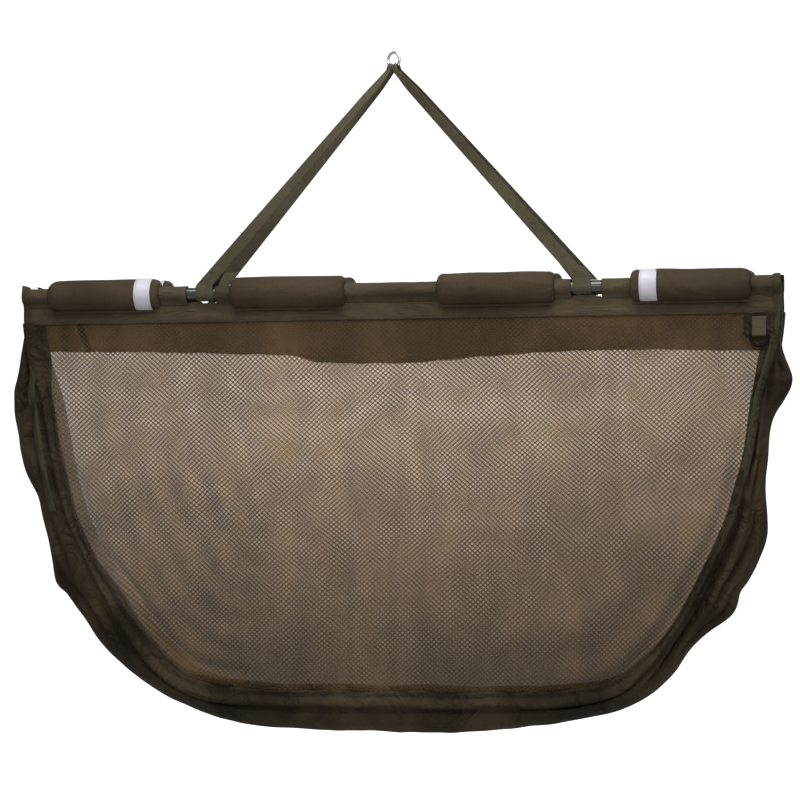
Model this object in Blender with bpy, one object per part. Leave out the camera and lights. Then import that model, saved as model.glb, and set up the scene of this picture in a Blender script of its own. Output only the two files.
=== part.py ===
"""Flotation weigh sling, hung from its lifting ring.

Metres, +Z up. The origin is the point inside the ring where the scale's hook bears.
X runs along the two bars, the front of the sling faces -Y, and the bag hangs towards -Z.
"""

import math

import bmesh
import bpy
from mathutils import Matrix, Vector

MM = 0.001

# Gaps between pieces
fit_gap = 0.3 * MM

# Lifting ring
ring_wire = 4.6 * MM
ring_bore = 17.6 * MM
ring_turn = math.radians(-29)

# Lifting straps
webbing_width = 20 * MM
webbing_thickness = 1.4 * MM
ring_loop_width = 4.6 * MM
ring_loop_clearance = 1.8 * MM
ring_loop_sag = 0.65 * MM
ring_loop_turn = math.radians(24)
ring_loop_tail = 7 * MM
strap_tail_rise = 34 * MM
strap_swing = math.radians(12)

# Bars, one in front and one behind
bar_drop = 353 * MM
bar_spacing = 64 * MM
pole_end_inset = 6 * MM
pole_diameter = 19 * MM
pole_wall = 1.3 * MM
ferrule_length = 120 * MM
cap_head_length = 3.5 * MM
cap_stem_length = 18 * MM

# Sleeves and hem
sleeve_clearance = 0.8 * MM
sleeve_wall = 1.4 * MM
sleeve_length = 1136 * MM
sleeve_neck = 3 * MM
hem_top_depth = 17 * MM
hem_bottom_depth = 43 * MM
cutout_inner_half = 16.5 * MM
cutout_outer_half = 28.5 * MM

# Floats
float_diameter = 46 * MM
outer_float_strap_gap = 71 * MM
outer_float_end_gap = 37.5 * MM
inner_float_strap_gap = 40.5 * MM
float_round = 9 * MM
float_cover_wall = 1.1 * MM
float_slot_clearance = 0.5 * MM
band_width = 25 * MM
band_thickness = 0.6 * MM
band_inset = 14 * MM

# Bag
bag_overhang = 2 * MM
bag_depth = 612 * MM
bag_bottom_spacing = 90 * MM
cloth_thickness = 1.2 * MM
border_width = 22 * MM
border_shoulder = 14 * MM
border_shoulder_depth = 130 * MM
gusset_bulge = 60 * MM
gusset_top_depth = 14 * MM
flap_depth = 107 * MM
flap_top_depth = 31 * MM
flap_end_inset = 42 * MM
flap_thickness = 1 * MM

# Side bindings
binding_width = 8 * MM
binding_thickness = 1.4 * MM
binding_end_depth = 150 * MM
binding_neck_depth = 20 * MM
binding_wrap_end = math.radians(250)

# Tie ring on the front right shoulder
d_ring_wire = 3.6 * MM
d_ring_inner_width = 23 * MM
d_ring_height = 19 * MM
tab_width = 20 * MM
tab_thickness = 1.2 * MM
tab_inset = 29 * MM
tab_top_depth = 40 * MM
tab_bar_depth = 73 * MM

# Counts that set how finely round shapes are drawn
ring_steps = 24
wire_steps = 8
pole_steps = 14
float_steps = 14
arc_step = math.radians(20)
round_step = math.radians(45)
spline_steps = 3
gusset_steps = 6

# Where the straps meet the bar, and where the gusset's base ends: shares of the bag's half width
strap_share = 0.5
base_share = 0.526

# The bag's side seam from the bar down to the middle of the base.
# Shares of half the bag's width, of its depth, and of the gusset's bulge at left and right.
seam_shares = (
    (1.000, 0.000, 0.05, 0.03),
    (0.999, 0.070, 0.10, 0.05),
    (0.988, 0.147, 0.42, 0.12),
    (0.968, 0.205, 0.80, 0.42),
    (0.949, 0.261, 0.98, 0.42),
    (0.921, 0.408, 0.98, 0.37),
    (0.872, 0.565, 0.83, 0.75),
    (0.825, 0.654, 1.03, 0.92),
    (0.779, 0.735, 0.93, 0.92),
    (0.728, 0.817, 0.83, 0.70),
    (0.649, 0.908, 0.60, 0.62),
    (0.570, 0.964, 0.43, 0.63),
    (0.460, 0.992, 0.50, 0.55),
    (0.316, 0.999, 0.60, 0.63),
    (0.000, 1.000, 0.70, 0.70),
)

# The mouth flap's lower edge: shares of half its length and of its depth.
flap_edge_shares = (
    (-1.00, 0.78),
    (-0.66, 0.81),
    (-0.40, 0.86),
    (-0.28, 0.88),
    (-0.19, 0.98),
    (0.02, 1.00),
    (0.22, 0.93),
    (0.55, 0.86),
    (1.00, 0.90),
)

# How the strap spreads from its loop on the ring to its full width at the bar.
# Shares of the way down, of the full width, and of the ring's turn.
strap_width_shares = (
    (0.00, 0.00, 1.00),
    (0.04, 0.25, 1.00),
    (0.09, 0.55, 0.95),
    (0.20, 0.63, 0.80),
    (0.40, 0.72, 0.50),
    (0.60, 0.82, 0.25),
    (0.80, 0.92, 0.05),
    (1.00, 1.00, 0.00),
)

# Sizes worked out from the ones above
bag_width = sleeve_length + 2 * bag_overhang
pole_length = sleeve_length - 2 * pole_end_inset
strap_reach = strap_share * bag_width / 2
base_half_length = base_share * bag_width / 2
cutout_inner_reach = strap_reach - cutout_inner_half
cutout_outer_reach = strap_reach + cutout_outer_half
outer_float_start = strap_reach + outer_float_strap_gap
outer_float_end = sleeve_length / 2 - outer_float_end_gap
float_length = outer_float_end - outer_float_start
outer_float_reach = (outer_float_start + outer_float_end) / 2
inner_float_reach = strap_reach - inner_float_strap_gap - float_length / 2
band_reach = outer_float_start + band_inset + band_width / 2
flap_half_length = bag_width / 2 - flap_end_inset
tab_reach = bag_width / 2 - tab_inset
half_spacing = bar_spacing / 2
bar_height = -bar_drop
pole_radius = pole_diameter / 2
sleeve_bore_radius = pole_radius + sleeve_clearance
sleeve_radius = sleeve_bore_radius + sleeve_wall
float_radius = float_diameter / 2
float_bore_radius = sleeve_radius + float_slot_clearance
float_slot = sleeve_neck + 2 * float_slot_clearance
ring_wire_radius = ring_wire / 2
ring_radius = ring_bore / 2 + ring_wire_radius
ring_centre = Vector((0, 0, -ring_bore / 2))
wrap_radius = pole_radius + fit_gap + webbing_thickness / 2
cloth_half = cloth_thickness / 2
strap_slant = strap_reach / (bar_drop - ring_bore)
slanted_webbing_width = webbing_width * math.hypot(1, strap_slant)
ring_loop_radius = ring_wire_radius + ring_loop_clearance + webbing_thickness / 2
gusset_depth = bag_depth + gusset_bulge * seam_shares[-1][2]

colours = {
    "chrome": (0.72, 0.72, 0.72, 0.18, 1.0),
    "webbing": (0.066, 0.058, 0.040, 0.85, 0.0),
    "pole_coat": (0.030, 0.034, 0.028, 0.25, 0.3),
    "ferrule_metal": (0.45, 0.45, 0.46, 0.35, 1.0),
    "cap_plastic": (0.012, 0.012, 0.012, 0.50, 0.0),
    "sleeve_cloth": (0.066, 0.055, 0.038, 0.80, 0.0),
    "cover_cloth": (0.058, 0.046, 0.030, 0.78, 0.0),
    "foam": (0.080, 0.080, 0.080, 0.95, 0.0),
    "reflective_tape": (0.66, 0.64, 0.72, 0.40, 0.0),
    "mesh_cloth": (0.130, 0.098, 0.062, 0.85, 0.0),
    "border_cloth": (0.048, 0.039, 0.024, 0.80, 0.0),
    "gusset_cloth": (0.026, 0.019, 0.012, 0.80, 0.0),
    "flap_cloth": (0.086, 0.060, 0.036, 0.80, 0.0),
    "binding_tape": (0.044, 0.046, 0.028, 0.85, 0.0),
    "d_ring_coat": (0.012, 0.010, 0.009, 0.40, 0.2),
}


def clear_scene():
    for obj in list(bpy.data.objects):
        bpy.data.objects.remove(obj, do_unlink=True)


def material(name):
    if name in bpy.data.materials:
        return bpy.data.materials[name]
    red, green, blue, roughness, metallic = colours[name]
    made = bpy.data.materials.new(name)
    made.use_nodes = True
    shader = made.node_tree.nodes["Principled BSDF"]
    shader.inputs["Base Color"].default_value = (red, green, blue, 1)
    shader.inputs["Roughness"].default_value = roughness
    shader.inputs["Metallic"].default_value = metallic
    return made


def pivot(name, place):
    empty = bpy.data.objects.new(name, None)
    empty.location = place
    bpy.context.scene.collection.objects.link(empty)
    return empty


def add(name, data, finish, parent, place=(0, 0, 0), turn=(0, 0, 0)):
    """Makes an object whose location and rotation are in world space, carried by the parent empty."""
    obj = bpy.data.objects.new(name, data)
    if data.materials:
        data.materials[0] = material(finish)
    else:
        data.materials.append(material(finish))
    obj.location = place
    obj.rotation_euler = turn
    bpy.context.scene.collection.objects.link(obj)
    if parent:
        obj.parent = parent
        obj.matrix_parent_inverse = Matrix.Translation(-Vector(parent.location))
    return obj


def mesh_from(bm, name, sharp_angle=math.radians(35)):
    bmesh.ops.recalc_face_normals(bm, faces=bm.faces)
    mesh = bpy.data.meshes.new(name)
    bm.to_mesh(mesh)
    bm.free()
    mesh.shade_smooth()
    mesh.set_sharp_from_angle(angle=sharp_angle)
    return mesh


def spline_through(rows, steps):
    """Points of a smooth curve through the rows, with the given steps between each two rows."""
    rows = [Vector(row) for row in rows]
    ends = [2 * rows[0] - rows[1]] + rows + [2 * rows[-1] - rows[-2]]
    curve = []
    for before, start, end, after in zip(ends, ends[1:], ends[2:], ends[3:]):
        for step in range(steps):
            t = step / steps
            slope_in = (end - before) * t * (1 - t) ** 2 / 2
            slope_out = (after - start) * t * t * (t - 1) / 2
            ease = t * t * (3 - 2 * t)
            curve.append(start.lerp(end, ease) + slope_in + slope_out)
    return curve + [rows[-1]]


def cloth_sheet(name, rows, thickness, finish, parent):
    """A sheet through rows of points, each row as long as the others, thickened evenly."""
    bm = bmesh.new()
    grid = [[bm.verts.new(point) for point in row] for row in rows]
    for low, high in zip(grid, grid[1:]):
        for a, b, c, d in zip(low, low[1:], high[1:], high):
            bm.faces.new((a, b, c, d))
    obj = add(name, mesh_from(bm, name), finish, parent)
    thicken(obj, thickness)
    return obj


def cloth_outline(name, points, thickness, finish, parent):
    """A flat sheet with the given outline, thickened evenly."""
    bm = bmesh.new()
    bm.faces.new([bm.verts.new(point) for point in points])
    obj = add(name, mesh_from(bm, name), finish, parent)
    thicken(obj, thickness)
    return obj


def thicken(obj, thickness):
    wall = obj.modifiers.new("wall", "SOLIDIFY")
    wall.thickness = thickness
    wall.offset = 0
    wall.use_even_offset = True


def ribbon(name, stations, thickness, finish, parent):
    """A flat band: each station is its middle and the vector from there to its edge."""
    rows = [(middle - edge, middle + edge) for middle, edge in stations]
    return cloth_sheet(name, rows, thickness, finish, parent)


def arc(radius, start, end, step=arc_step):
    """Points (across, up) on an arc about the middle, from one angle to the other."""
    count = max(2, round(abs(end - start) / step))
    angles = [start + (end - start) * i / count for i in range(count + 1)]
    return [(radius * math.cos(a), radius * math.sin(a)) for a in angles]


def extruded(name, loops, length, finish, parent, place):
    """A section in the plane across the bars, made of loops of (front to back, up), run along X."""
    curve = bpy.data.curves.new(name, "CURVE")
    curve.dimensions = "2D"
    curve.fill_mode = "BOTH"
    curve.extrude = length / 2
    for loop in loops:
        spline = curve.splines.new("POLY")
        spline.points.add(len(loop) - 1)
        for point, (across, up) in zip(spline.points, loop):
            point.co = (across, up, 0, 1)
        spline.use_cyclic_u = True
    quarter = math.pi / 2
    return add(name, curve, finish, parent, place, (quarter, 0, quarter))


def turned_mesh(name, profile, steps):
    """A solid turned about X from a closed or axis-to-axis profile of (along, radius)."""
    bm = bmesh.new()
    verts = [bm.verts.new((along, 0, radius)) for along, radius in profile]
    edges = [bm.edges.new(pair) for pair in zip(verts, verts[1:])]
    if profile[0][1] > 0:
        edges.append(bm.edges.new((verts[-1], verts[0])))
    bmesh.ops.spin(
        bm,
        geom=verts + edges,
        cent=(0, 0, 0),
        axis=(1, 0, 0),
        angle=2 * math.pi,
        steps=steps,
        use_merge=True,
    )
    bmesh.ops.remove_doubles(bm, verts=bm.verts, dist=fit_gap / 100)
    return mesh_from(bm, name)


def ring_frame(side):
    """The middle of a strap's loop on the wire, the wire's direction, and the way down and out."""
    along = Vector((math.cos(ring_turn), math.sin(ring_turn), 0))
    up = Vector((0, 0, 1))
    sine = side * math.sin(ring_loop_turn)
    cosine = math.cos(ring_loop_turn)
    outwards = sine * along - cosine * up
    middle = ring_centre + (ring_radius + ring_loop_sag) * outwards
    return middle, cosine * along + sine * up, outwards


def lifting_ring():
    bpy.ops.mesh.primitive_torus_add(
        major_radius=ring_radius,
        minor_radius=ring_wire_radius,
        major_segments=ring_steps,
        minor_segments=wire_steps,
        location=ring_centre,
        rotation=(math.pi / 2, 0, ring_turn),
    )
    ring = bpy.context.object
    ring.name = "lifting_ring"
    ring.data.materials.append(material("chrome"))
    ring.data.shade_smooth()


def strap_leg(name, side, front, parent):
    """One leg of a lifting strap: half a loop over the ring, the leg, and its wrap round the pole.

    side is 1 on the right and -1 on the left; front is -1 for the front leg and 1 for the rear one.
    """
    wire, wire_way, outwards = ring_frame(side)
    ring_front = Vector((math.sin(ring_turn), -math.cos(ring_turn), 0)) * -front
    loop_edge = wire_way * ring_loop_width / 2
    start_angle = math.pi / 2 - strap_swing - fit_gap / ring_loop_radius
    stations = [
        (wire + across * ring_front - up * outwards, loop_edge)
        for across, up in arc(ring_loop_radius, start_angle, 0)
    ]
    top = wire + ring_loop_radius * ring_front + ring_loop_tail * outwards
    wrap = Vector((side * strap_reach, front * half_spacing, bar_height))
    wrap_front = Vector((0, front * wrap_radius, 0))
    foot = wrap + wrap_front + Vector((0, 0, sleeve_radius))
    foot_edge = Vector((slanted_webbing_width / 2, 0, 0))
    for place, width_share, turn_share in strap_width_shares:
        turned_edge = Matrix.Rotation(ring_turn * turn_share, 3, "Z") @ foot_edge
        stations.append((top.lerp(foot, place), loop_edge.lerp(turned_edge, width_share)))
    for across, up in arc(wrap_radius, math.pi, 2 * math.pi):
        stations.append((wrap + Vector((0, -front * across, up)), foot_edge))
    back = wrap - wrap_front + Vector((0, 0, sleeve_radius / 2))
    rise = (strap_tail_rise - sleeve_radius) / (top.z - foot.z)
    leg_there = foot.lerp(top, rise)
    layer_gap = webbing_thickness + fit_gap
    tail = leg_there + Vector((0, -front * layer_gap, 0))
    stations.append((back, foot_edge))
    stations.append((tail, foot_edge))
    return ribbon(name, stations, webbing_thickness, "webbing", parent)


def pole_pieces(prefix, front, parent):
    place = (0, front * half_spacing, bar_height)
    inner_radius = pole_radius - pole_wall
    half = pole_length / 2
    section = (
        (fit_gap / 2, inner_radius),
        (fit_gap / 2, pole_radius),
        (half, pole_radius),
        (half, inner_radius),
    )
    right = turned_mesh("pole", section, pole_steps)
    add(f"{prefix}_pole_right", right, "pole_coat", parent, place)
    add(f"{prefix}_pole_left", right, "pole_coat", parent, place, (0, 0, math.pi))
    stem_radius = inner_radius - fit_gap
    ferrule_end = ferrule_length / 2
    ferrule = (
        (-ferrule_end, 0),
        (-ferrule_end, stem_radius),
        (ferrule_end, stem_radius),
        (ferrule_end, 0),
    )
    plug = turned_mesh("ferrule", ferrule, pole_steps)
    add(f"{prefix}_pole_ferrule", plug, "ferrule_metal", parent, place)
    head_start = half + fit_gap
    head_end = head_start + cap_head_length
    stem_start = half - cap_stem_length
    cap = (
        (stem_start, 0),
        (stem_start, stem_radius),
        (head_start, stem_radius),
        (head_start, pole_radius),
        (head_end, pole_radius),
        (head_end, 0),
    )
    stopper = turned_mesh("cap", cap, pole_steps)
    add(f"{prefix}_end_cap_right", stopper, "cap_plastic", parent, place)
    add(f"{prefix}_end_cap_left", stopper, "cap_plastic", parent, place, (0, 0, math.pi))


def slotted_arc(radius, slot):
    """An arc all the way round but for a slot at the bottom."""
    half_angle = math.asin(slot / 2 / radius)
    bottom = -math.pi / 2
    return arc(radius, bottom + half_angle, bottom + 2 * math.pi - half_angle)


def sleeve_pieces(prefix, front, parent):
    """The cloth tube round the bar, cut away at both straps, with the neck that runs into the hem."""
    half_neck = sleeve_neck / 2
    neck_end = -(hem_top_depth - fit_gap)
    outer = slotted_arc(sleeve_radius, sleeve_neck)
    outer += [(-half_neck, neck_end), (half_neck, neck_end)]
    bore = arc(sleeve_bore_radius, 0, 2 * math.pi)[:-1]
    half = sleeve_length / 2
    spans = {
        "left": (-half, -cutout_outer_reach),
        "centre": (-cutout_inner_reach, cutout_inner_reach),
        "right": (cutout_outer_reach, half),
    }
    for where, (start, end) in spans.items():
        place = ((start + end) / 2, front * half_spacing, bar_height)
        extruded(f"{prefix}_sleeve_{where}", (outer, bore), end - start, "sleeve_cloth", parent, place)
    half_height = (hem_bottom_depth - hem_top_depth) / 2
    section = (
        (-half_neck, -half_height),
        (half_neck, -half_height),
        (half_neck, half_height),
        (-half_neck, half_height),
    )
    place = (0, front * half_spacing, bar_height - hem_top_depth - half_height)
    hem_length = bag_width * seam_shares[1][0] - 2 * fit_gap - cloth_thickness
    extruded(f"{prefix}_hem", (section,), hem_length, "sleeve_cloth", parent, place)


def float_outline(gap):
    """Half a float's length section, drawn in by a gap: (along, radius) from one bore edge to the other."""
    half = float_length / 2 - gap
    round_size = float_round - gap
    left = [(-half, float_bore_radius)]
    for along, up in arc(round_size, math.pi, math.pi / 2, round_step):
        left.append((along - half + round_size, up + float_radius - float_round))
    return left + [(-along, up) for along, up in reversed(left)]


def slotted_turn(name, outline):
    """A closed section turned about X, but for the slot at the bottom."""
    half_angle = math.asin(float_slot / 2 / float_bore_radius)
    start = Matrix.Rotation(math.pi + half_angle, 3, "X")
    bm = bmesh.new()
    corners = [start @ Vector((along, 0, radius)) for along, radius in outline]
    face = bm.faces.new([bm.verts.new(corner) for corner in corners])
    bmesh.ops.spin(
        bm,
        geom=list(face.verts) + list(face.edges) + [face],
        cent=(0, 0, 0),
        axis=(1, 0, 0),
        angle=2 * math.pi - 2 * half_angle,
        steps=float_steps,
    )
    return mesh_from(bm, name)


def float_pieces(prefix, front, parent):
    """Foam floats in cloth covers, and a band round each outer one.

    Each is slotted below, where the sleeve's neck leaves it.
    """
    cover = slotted_turn("float_cover", float_outline(0) + float_outline(float_cover_wall)[::-1])
    foam = slotted_turn("float_core", float_outline(float_cover_wall + fit_gap))
    half_band = band_width / 2
    band_inside = float_radius + fit_gap
    band_outside = band_inside + band_thickness
    band_outline = (
        (-half_band, band_inside),
        (half_band, band_inside),
        (half_band, band_outside),
        (-half_band, band_outside),
    )
    band = slotted_turn("reflective_band", band_outline)
    reaches = {
        "outer_left": -outer_float_reach,
        "inner_left": -inner_float_reach,
        "inner_right": inner_float_reach,
        "outer_right": outer_float_reach,
    }
    for where, reach in reaches.items():
        place = (reach, front * half_spacing, bar_height)
        add(f"{prefix}_float_cover_{where}", cover, "cover_cloth", parent, place)
        add(f"{prefix}_float_core_{where}", foam, "foam", parent, place)
    for where, side in (("left", -1), ("right", 1)):
        place = (side * band_reach, front * half_spacing, bar_height)
        add(f"{prefix}_reflective_band_{where}", band, "reflective_tape", parent, place)


def panel_reach(depth):
    """How far in front of or behind the middle plane the panels hang, at a depth under the bars."""
    fall = max(0, depth - hem_bottom_depth) / (bag_depth - hem_bottom_depth)
    return half_spacing + (bag_bottom_spacing / 2 - half_spacing) * fall


def seam_line():
    """Points of the whole side seam, left bar end to right bar end: (x, depth, bulge, way out)."""
    right = spline_through(seam_shares, spline_steps)
    half_width = bag_width / 2
    left_half = [(-row[0] * half_width, row[1] * bag_depth, row[2] * gusset_bulge) for row in right]
    right_half = [(row[0] * half_width, row[1] * bag_depth, row[3] * gusset_bulge) for row in right]
    line = left_half + right_half[-2::-1]
    points = []
    for index, (x, depth, bulge) in enumerate(line):
        before = line[max(index - 1, 0)]
        after = line[min(index + 1, len(line) - 1)]
        way = Vector((after[0] - before[0], after[1] - before[1])).normalized()
        points.append((x, depth, bulge, Vector((-way.y, way.x))))
    return points


def on_panel(front, x, depth):
    return Vector((x, front * panel_reach(depth), bar_height - depth))


def border_line(inset_share):
    """The seam line moved inwards by a share of the border's width, from the hem down."""
    top = hem_bottom_depth + fit_gap
    seam = seam_line()
    edge_gap = cloth_half + fit_gap
    line = []
    for x, depth, _, out in seam:
        shoulder = max(0, 1 - (depth - top) / border_shoulder_depth)
        width = border_width + border_shoulder * shoulder
        move = edge_gap + (width - edge_gap) * inset_share
        line.append((x - out.x * move, depth - out.y * move))
    below = [i for i, (_, depth, *_) in enumerate(seam) if depth > top + border_width / 2]
    first, last = below[0], below[-1]
    start = meeting(line[first - 1], line[first], top)
    end = meeting(line[last + 1], line[last], top)
    return [start] + line[first : last + 1] + [end]


def meeting(above, below, depth):
    """Where the line between two points crosses a depth."""
    share = (depth - above[1]) / (below[1] - above[1])
    return above[0] + (below[0] - above[0]) * share, depth


def bag_panel(prefix, front, parent):
    edges = zip(border_line(0), border_line(1))
    rows = [[on_panel(front, *outer), on_panel(front, *inner)] for outer, inner in edges]
    cloth_sheet(f"{prefix}_border", rows, cloth_thickness, "border_cloth", parent)
    mesh_edge = border_line((border_width + fit_gap) / border_width)
    points = [on_panel(front, *point) for point in mesh_edge]
    cloth_outline(f"{prefix}_mesh_panel", points, cloth_thickness, "mesh_cloth", parent)
    behind = sleeve_neck / 2 + fit_gap + flap_thickness / 2
    edge = spline_through(flap_edge_shares, spline_steps)
    lower = [(share * flap_half_length, down * flap_depth) for share, down in edge]
    rows = [
        [flap_point(front, x, flap_top_depth, behind), flap_point(front, x, depth, behind)]
        for x, depth in lower
    ]
    cloth_sheet(f"{prefix}_mouth_flap", rows, flap_thickness, "flap_cloth", parent)


def flap_point(front, x, depth, behind):
    return Vector((x, front * (half_spacing - behind), bar_height - depth))


def gusset_row(point):
    """One section across the gusset, from the front panel's edge out and round to the rear one's."""
    x, depth, bulge, out = point
    row = []
    for step in range(gusset_steps + 1):
        angle = math.pi * (step / gusset_steps - 1 / 2)
        move = bulge * math.cos(angle)
        place = (x + out.x * move, panel_reach(depth) * math.sin(angle))
        row.append(Vector((*place, bar_height - depth - out.y * move)))
    return row


def gusset_pieces(parent):
    points = [point for point in seam_line() if point[1] >= gusset_top_depth]
    left_end = sum(1 for x, *_ in points if x < -base_half_length)
    right_start = len(points) - left_end
    spans = {
        "gusset_left": points[: left_end + 1],
        "gusset_base": points[left_end : right_start],
        "gusset_right": points[right_start - 1 :],
    }
    for name, span in spans.items():
        rows = [gusset_row(point) for point in span]
        if name != "gusset_left":
            rows[0] = shortened(rows[0], rows[1])
        if name != "gusset_right":
            rows[-1] = shortened(rows[-1], rows[-2])
        cloth_sheet(name, rows, cloth_thickness, "gusset_cloth", parent)


def shortened(row, inside):
    """The row moved half a gap towards its neighbour."""
    return [a + (b - a).normalized() * fit_gap / 2 for a, b in zip(row, inside)]


def binding_pieces(prefix, front, parent):
    """Tape folded over the bag's side edges, from the top of the sleeve down the front of the seam."""
    tape_radius = sleeve_radius + fit_gap + binding_thickness / 2
    proud = sleeve_neck / 2 + fit_gap + binding_thickness / 2
    half_tape = binding_width / 2
    edge = Vector((half_tape, 0, 0))
    for where, side in (("left", -1), ("right", 1)):
        seam = [point for point in seam_line() if point[0] * side > 0][::-side]
        top_x = side * (sleeve_length / 2 - half_tape)
        stations = []
        for across, up in arc(tape_radius, math.pi / 2, binding_wrap_end):
            y = front * (half_spacing - across)
            stations.append((Vector((top_x, y, bar_height + up)), edge))
        for x, depth, *_ in seam:
            if binding_neck_depth < depth < binding_end_depth:
                y = front * (panel_reach(depth) + proud)
                stations.append((Vector((x - side * half_tape, y, bar_height - depth)), edge))
        ribbon(f"{prefix}_binding_{where}", stations, binding_thickness, "binding_tape", parent)


def d_ring_place():
    """The middle of the tie ring's straight bar."""
    loop_radius = d_ring_wire / 2 + fit_gap + tab_thickness / 2
    face = sleeve_neck / 2 + fit_gap + tab_thickness / 2
    reach = panel_reach(tab_bar_depth) + face + loop_radius
    return Vector((tab_reach, -reach, bar_height - tab_bar_depth)), loop_radius


def d_ring_tab(parent):
    """Webbing folded round the tie ring's bar, both ends sewn to the bag's shoulder."""
    bar, loop_radius = d_ring_place()
    edge = Vector((tab_width / 2, 0, 0))
    top = bar_height - tab_top_depth
    back_y = bar.y + loop_radius
    front_y = back_y - tab_thickness - fit_gap
    stations = [(Vector((bar.x, back_y, top)), edge)]
    for across, up in arc(loop_radius, 0, -math.pi):
        stations.append((bar + Vector((0, across, up)), edge))
    stations.append((Vector((bar.x, front_y, top)), edge))
    return ribbon("d_ring_tab", stations, tab_thickness, "webbing", parent)


def d_ring(parent):
    bar, _ = d_ring_place()
    half_width = (d_ring_inner_width + d_ring_wire) / 2
    corner = d_ring_wire / 2
    drop = d_ring_height - d_ring_wire / 2 - corner
    points = [(-half_width + corner, 0), (half_width - corner, 0), (half_width, -corner)]
    for across, up in arc(1, 0, -math.pi)[1:]:
        points.append((half_width * across, -corner + drop * up))
    curve = bpy.data.curves.new("d_ring", "CURVE")
    curve.dimensions = "3D"
    curve.bevel_depth = d_ring_wire / 2
    curve.bevel_resolution = 2
    spline = curve.splines.new("POLY")
    spline.points.add(len(points) - 1)
    for point, (x, z) in zip(spline.points, points):
        point.co = (x, 0, z, 1)
    spline.use_cyclic_u = True
    return add("d_ring", curve, "d_ring_coat", parent, bar)


def build():
    clear_scene()
    ring_foot = ring_centre - Vector((0, 0, ring_radius))
    base_line = Vector((0, 0, bar_height - gusset_depth))
    front_straps = pivot("front_straps_pivot", ring_foot)
    front_side = pivot("front_side_pivot", (0, -half_spacing, bar_height))
    rear_side = pivot("rear_side_pivot", base_line)
    rear_straps = pivot("rear_straps_pivot", (0, half_spacing, bar_height))
    d_ring_pivot = pivot("d_ring_pivot", d_ring_place()[0])
    lifting_ring()
    for where, side in (("left", -1), ("right", 1)):
        strap_leg(f"front_strap_{where}", side, -1, front_straps)
        strap_leg(f"rear_strap_{where}", side, 1, rear_straps)
    for prefix, front, parent in (("front", -1, front_side), ("rear", 1, rear_side)):
        pole_pieces(prefix, front, parent)
        sleeve_pieces(prefix, front, parent)
        float_pieces(prefix, front, parent)
        bag_panel(prefix, front, parent)
        binding_pieces(prefix, front, parent)
    gusset_pieces(front_side)
    d_ring_tab(front_side)
    d_ring(d_ring_pivot)


build()
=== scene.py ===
import math

import bmesh
import bpy
from mathutils import Matrix, Vector, noise


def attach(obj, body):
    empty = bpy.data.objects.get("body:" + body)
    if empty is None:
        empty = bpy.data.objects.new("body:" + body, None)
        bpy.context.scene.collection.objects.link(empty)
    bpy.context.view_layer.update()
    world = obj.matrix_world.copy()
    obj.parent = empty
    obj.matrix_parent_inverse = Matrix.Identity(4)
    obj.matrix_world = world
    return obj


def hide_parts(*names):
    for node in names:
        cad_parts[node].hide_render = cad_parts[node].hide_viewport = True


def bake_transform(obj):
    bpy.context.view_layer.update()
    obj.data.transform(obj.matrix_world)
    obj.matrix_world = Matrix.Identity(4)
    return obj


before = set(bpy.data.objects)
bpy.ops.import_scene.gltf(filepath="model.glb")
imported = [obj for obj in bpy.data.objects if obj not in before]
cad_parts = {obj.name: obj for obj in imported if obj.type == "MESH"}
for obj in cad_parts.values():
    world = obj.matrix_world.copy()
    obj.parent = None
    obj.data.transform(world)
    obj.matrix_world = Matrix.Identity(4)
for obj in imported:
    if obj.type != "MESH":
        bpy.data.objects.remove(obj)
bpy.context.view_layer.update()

# Sizes in metres, the same as the part's
fit_gap = 0.0003
bar_height = -0.353
half_spacing = 0.032
half_width = 0.570
bag_depth = 0.612
hem_top = 0.017
hem_bottom = 0.043
gusset_top = 0.014
bottom_reach = 0.045
bulge_size = 0.060
base_half_length = 0.29982
pole_radius = 0.0095
pole_half = 0.562
pole_wall = 0.0013
ferrule_length = 0.120
cap_stem_length = 0.018
cap_head_length = 0.0035
sleeve_radius = 0.0117
sleeve_half = 0.568
cutout_inner = 0.2685
cutout_outer = 0.3135
float_radius = 0.023
float_bore = 0.0122
float_length = 0.1745
outer_float_reach = 0.44325
inner_float_reach = 0.15725
band_right = 0.3825
band_width = 0.025
strap_reach = 0.285
webbing_width = 0.020
webbing_thickness = 0.0014
wrap_radius = 0.0105
ring_wire = 0.0046
ring_bore = 0.0176
ring_radius = 0.0111
ring_turn = math.radians(-29)
ring_centre = Vector((0, 0, -0.0088))
ring_loop_turn = math.radians(24)
ring_loop_sag = 0.00065
ring_loop_clearance = 0.0018
ring_loop_tail = 0.007
strap_tail_rise = 0.034
strap_swing = math.radians(12)
flap_depth = 0.107
flap_top = 0.031
d_ring_bar = Vector((0.541, -0.037785, -0.426))
d_ring_wire = 0.0036
d_ring_inner_width = 0.023
d_ring_height = 0.019
tab_half = 0.010
tab_thickness = 0.0012

# Sizes in metres that the scene sets for itself
mesh_column = 0.0079
mesh_course = 0.0072
mesh_top = hem_bottom - 0.0025
cloth_wall = 0.0009
border_wall = 0.0012
hem_wall = 0.0030
hem_half = half_width - 0.0015
flap_half = 0.534
flap_shift = 0.010
cover_wall = 0.0014
round_shoulder = (0.016, 0.0095)
tight_shoulder = (0.008, 0.0085)
float_slot_half = 0.0021
band_left = -0.3792
ring_loop_half = 0.0041
tape_half = 0.0054
tape_wall = 0.0014
tape_top = sleeve_half - 0.0016
tab_top = -0.4005
d_ring_seen_wire = 0.0042
d_ring_corner = 0.0030

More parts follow.
